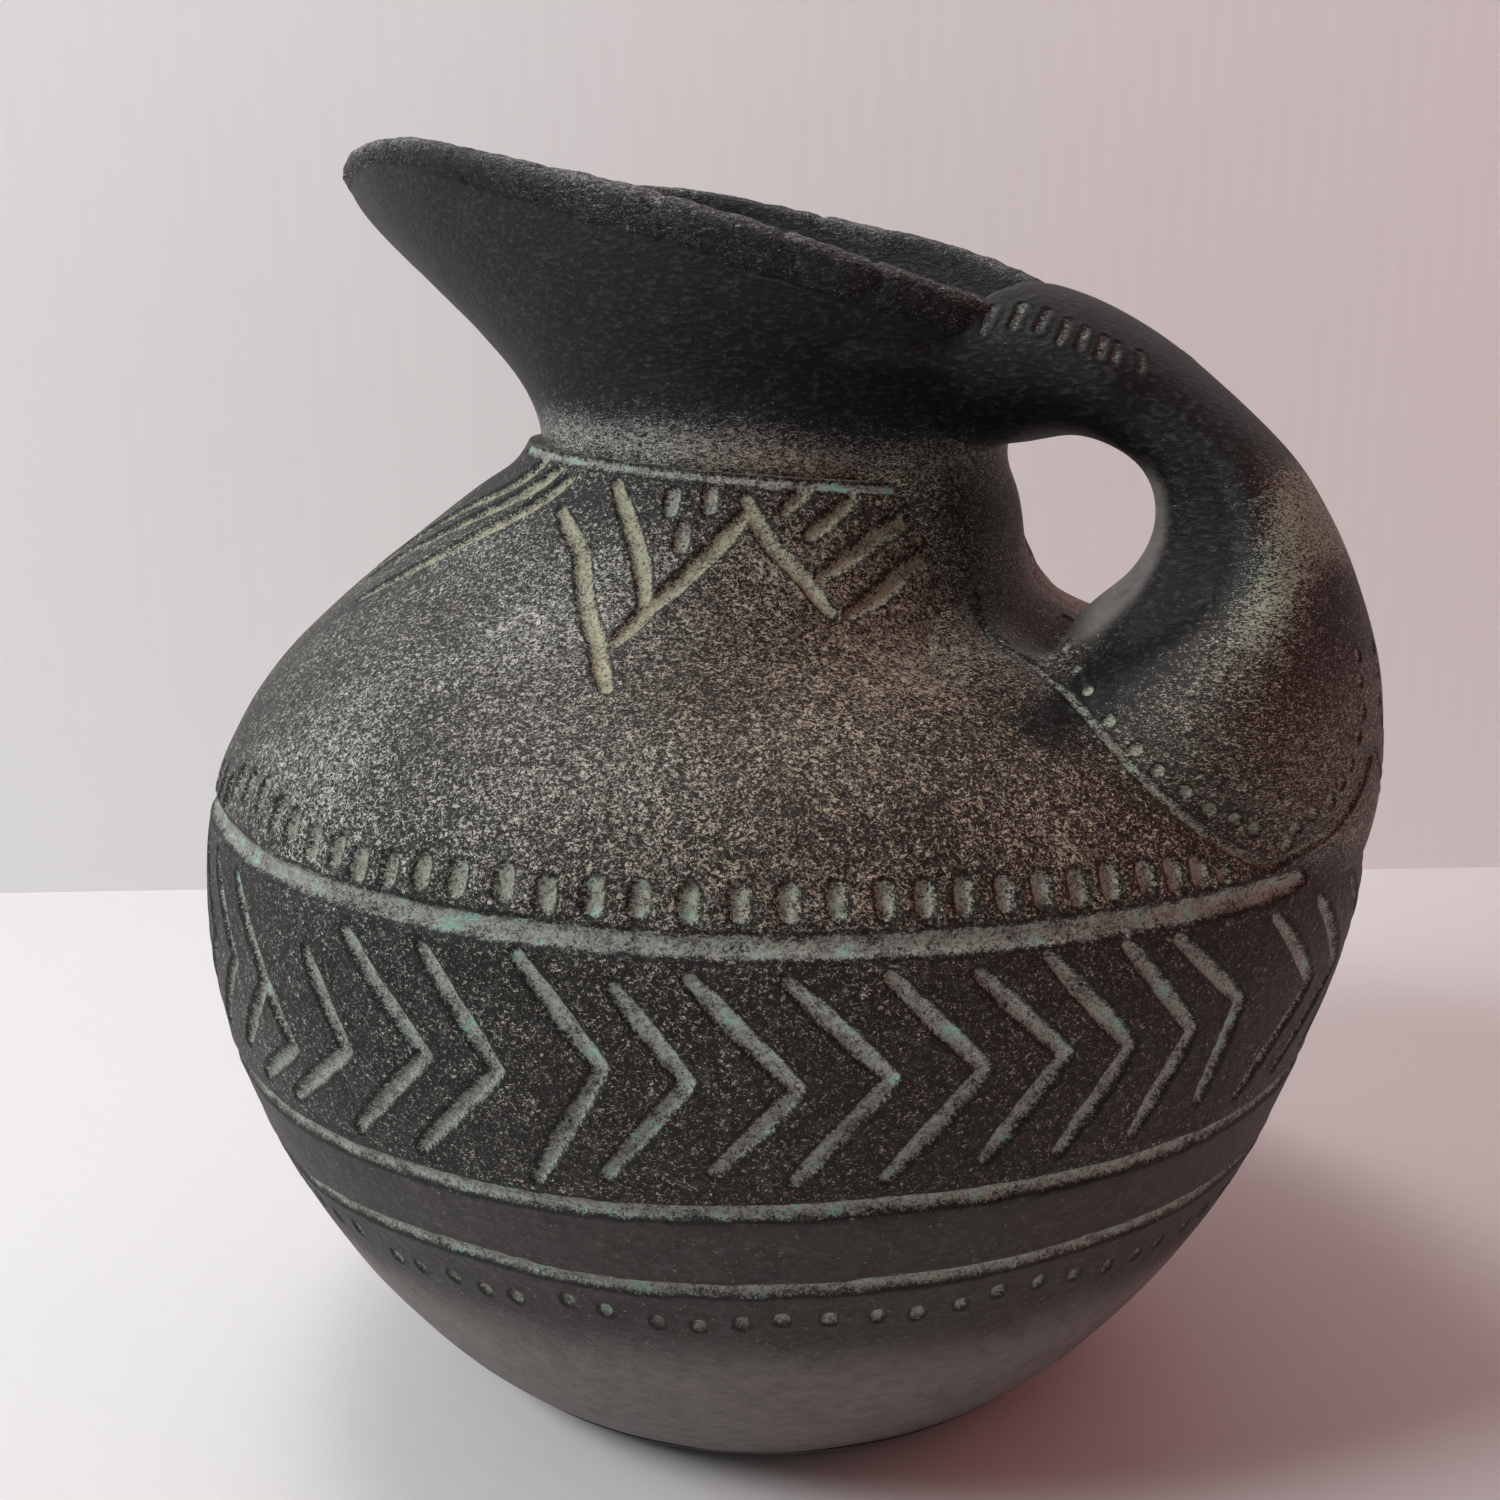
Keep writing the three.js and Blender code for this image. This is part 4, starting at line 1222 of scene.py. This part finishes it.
def matt_surface(name, text, roughness):
    """A plain surface with the faint ribs that a roller leaves."""
    material, shader, node = new_material(name)
    place = node("TexCoord", {}, "Object")
    waves = {"Vector": place, "Scale": 45, "Distortion": 0.4, "Detail": 1}
    ribs = node("TexWave", waves, 1, bands_direction="Y")
    bump = node("Bump", {"Height": ribs, "Distance": 0.0002, "Strength": 0.15})
    fill_inputs(shader, {"Base Color": colour(text), "Roughness": roughness, "Normal": bump})
    return material


deselect_all()
bpy.ops.mesh.primitive_plane_add(size=5, location=(0, 0, 0))
floor = bpy.context.object
floor.name = "table"
floor.data.materials.append(matt_surface("white melamine table", "#dfdcdb", 0.45))
deselect_all()
bpy.ops.mesh.primitive_plane_add(
    size=5,
    location=(*WALL_FOOT, 2.5),
    rotation=(math.radians(90), 0, math.radians(WALL_HEADING)),
)
wall = bpy.context.object
wall.name = "wall"
bpy.ops.object.transform_apply(location=True, rotation=True, scale=True)
paint = matt_surface("matt white wall", "#f0efee", 0.9)
wall.data.materials.append(paint)
tree = paint.node_tree
behind = add_node(tree, "NewGeometry", {}, "Backfacing")
clear = add_node(tree, "BsdfTransparent", {})
matt = tree.nodes["Principled BSDF"].outputs[0]
one_sided = add_node(tree, "MixShader", {0: behind, 1: matt, 2: clear})
fill_inputs(tree.nodes["Material Output"], {"Surface": one_sided})
print("wall", round(Vector(WALL_FOOT).length, 3), "m behind the jug")

# %% [markdown]
# ## Light
# A lamp hangs over the jug, towards the spout. It gives the sheen high on the shoulder and the
# shadow that falls to the right. A window behind the camera, on its left, lights the front. A
# weak rosy light from the right reddens the shadow, as something red beside the table would,
# and the room fills in the rest.

# %% The lamp, the window, the rosy fill and the room
def soft_light(name, place, aim, size, watts, text):
    data = bpy.data.lights.new(name, "AREA")
    data.size = size
    data.energy = watts
    data.color = colour(text)[:3]
    made = bpy.data.objects.new(name, data)
    bpy.context.scene.collection.objects.link(made)
    made.location = place
    heading = Vector(aim) - Vector(place)
    made.rotation_euler = heading.to_track_quat("-Z", "Y").to_euler()
    return made


soft_light("lamp", (-0.42, 0.03, 1.0), (0, 0, 0.15), 0.3, 5.5, "#fffdfb")
soft_light("window", (-1.2, -1.95, 2.05), (0, 0, 0.1), 0.9, 68, "#f8fcff")
soft_light("rosy fill", (0.6, 0.15, 0.5), (0.1, 0, 0), 0.5, 0.85, "#ff6a62")
world = bpy.data.worlds.new("room")
world.use_nodes = True
room = world.node_tree.nodes["Background"]
fill_inputs(room, {"Color": colour("#f4f5f6"), "Strength": 0.14})
bpy.context.scene.world = world
bpy.context.scene.view_settings.view_transform = "Standard"  # the slip stays as dark as it is
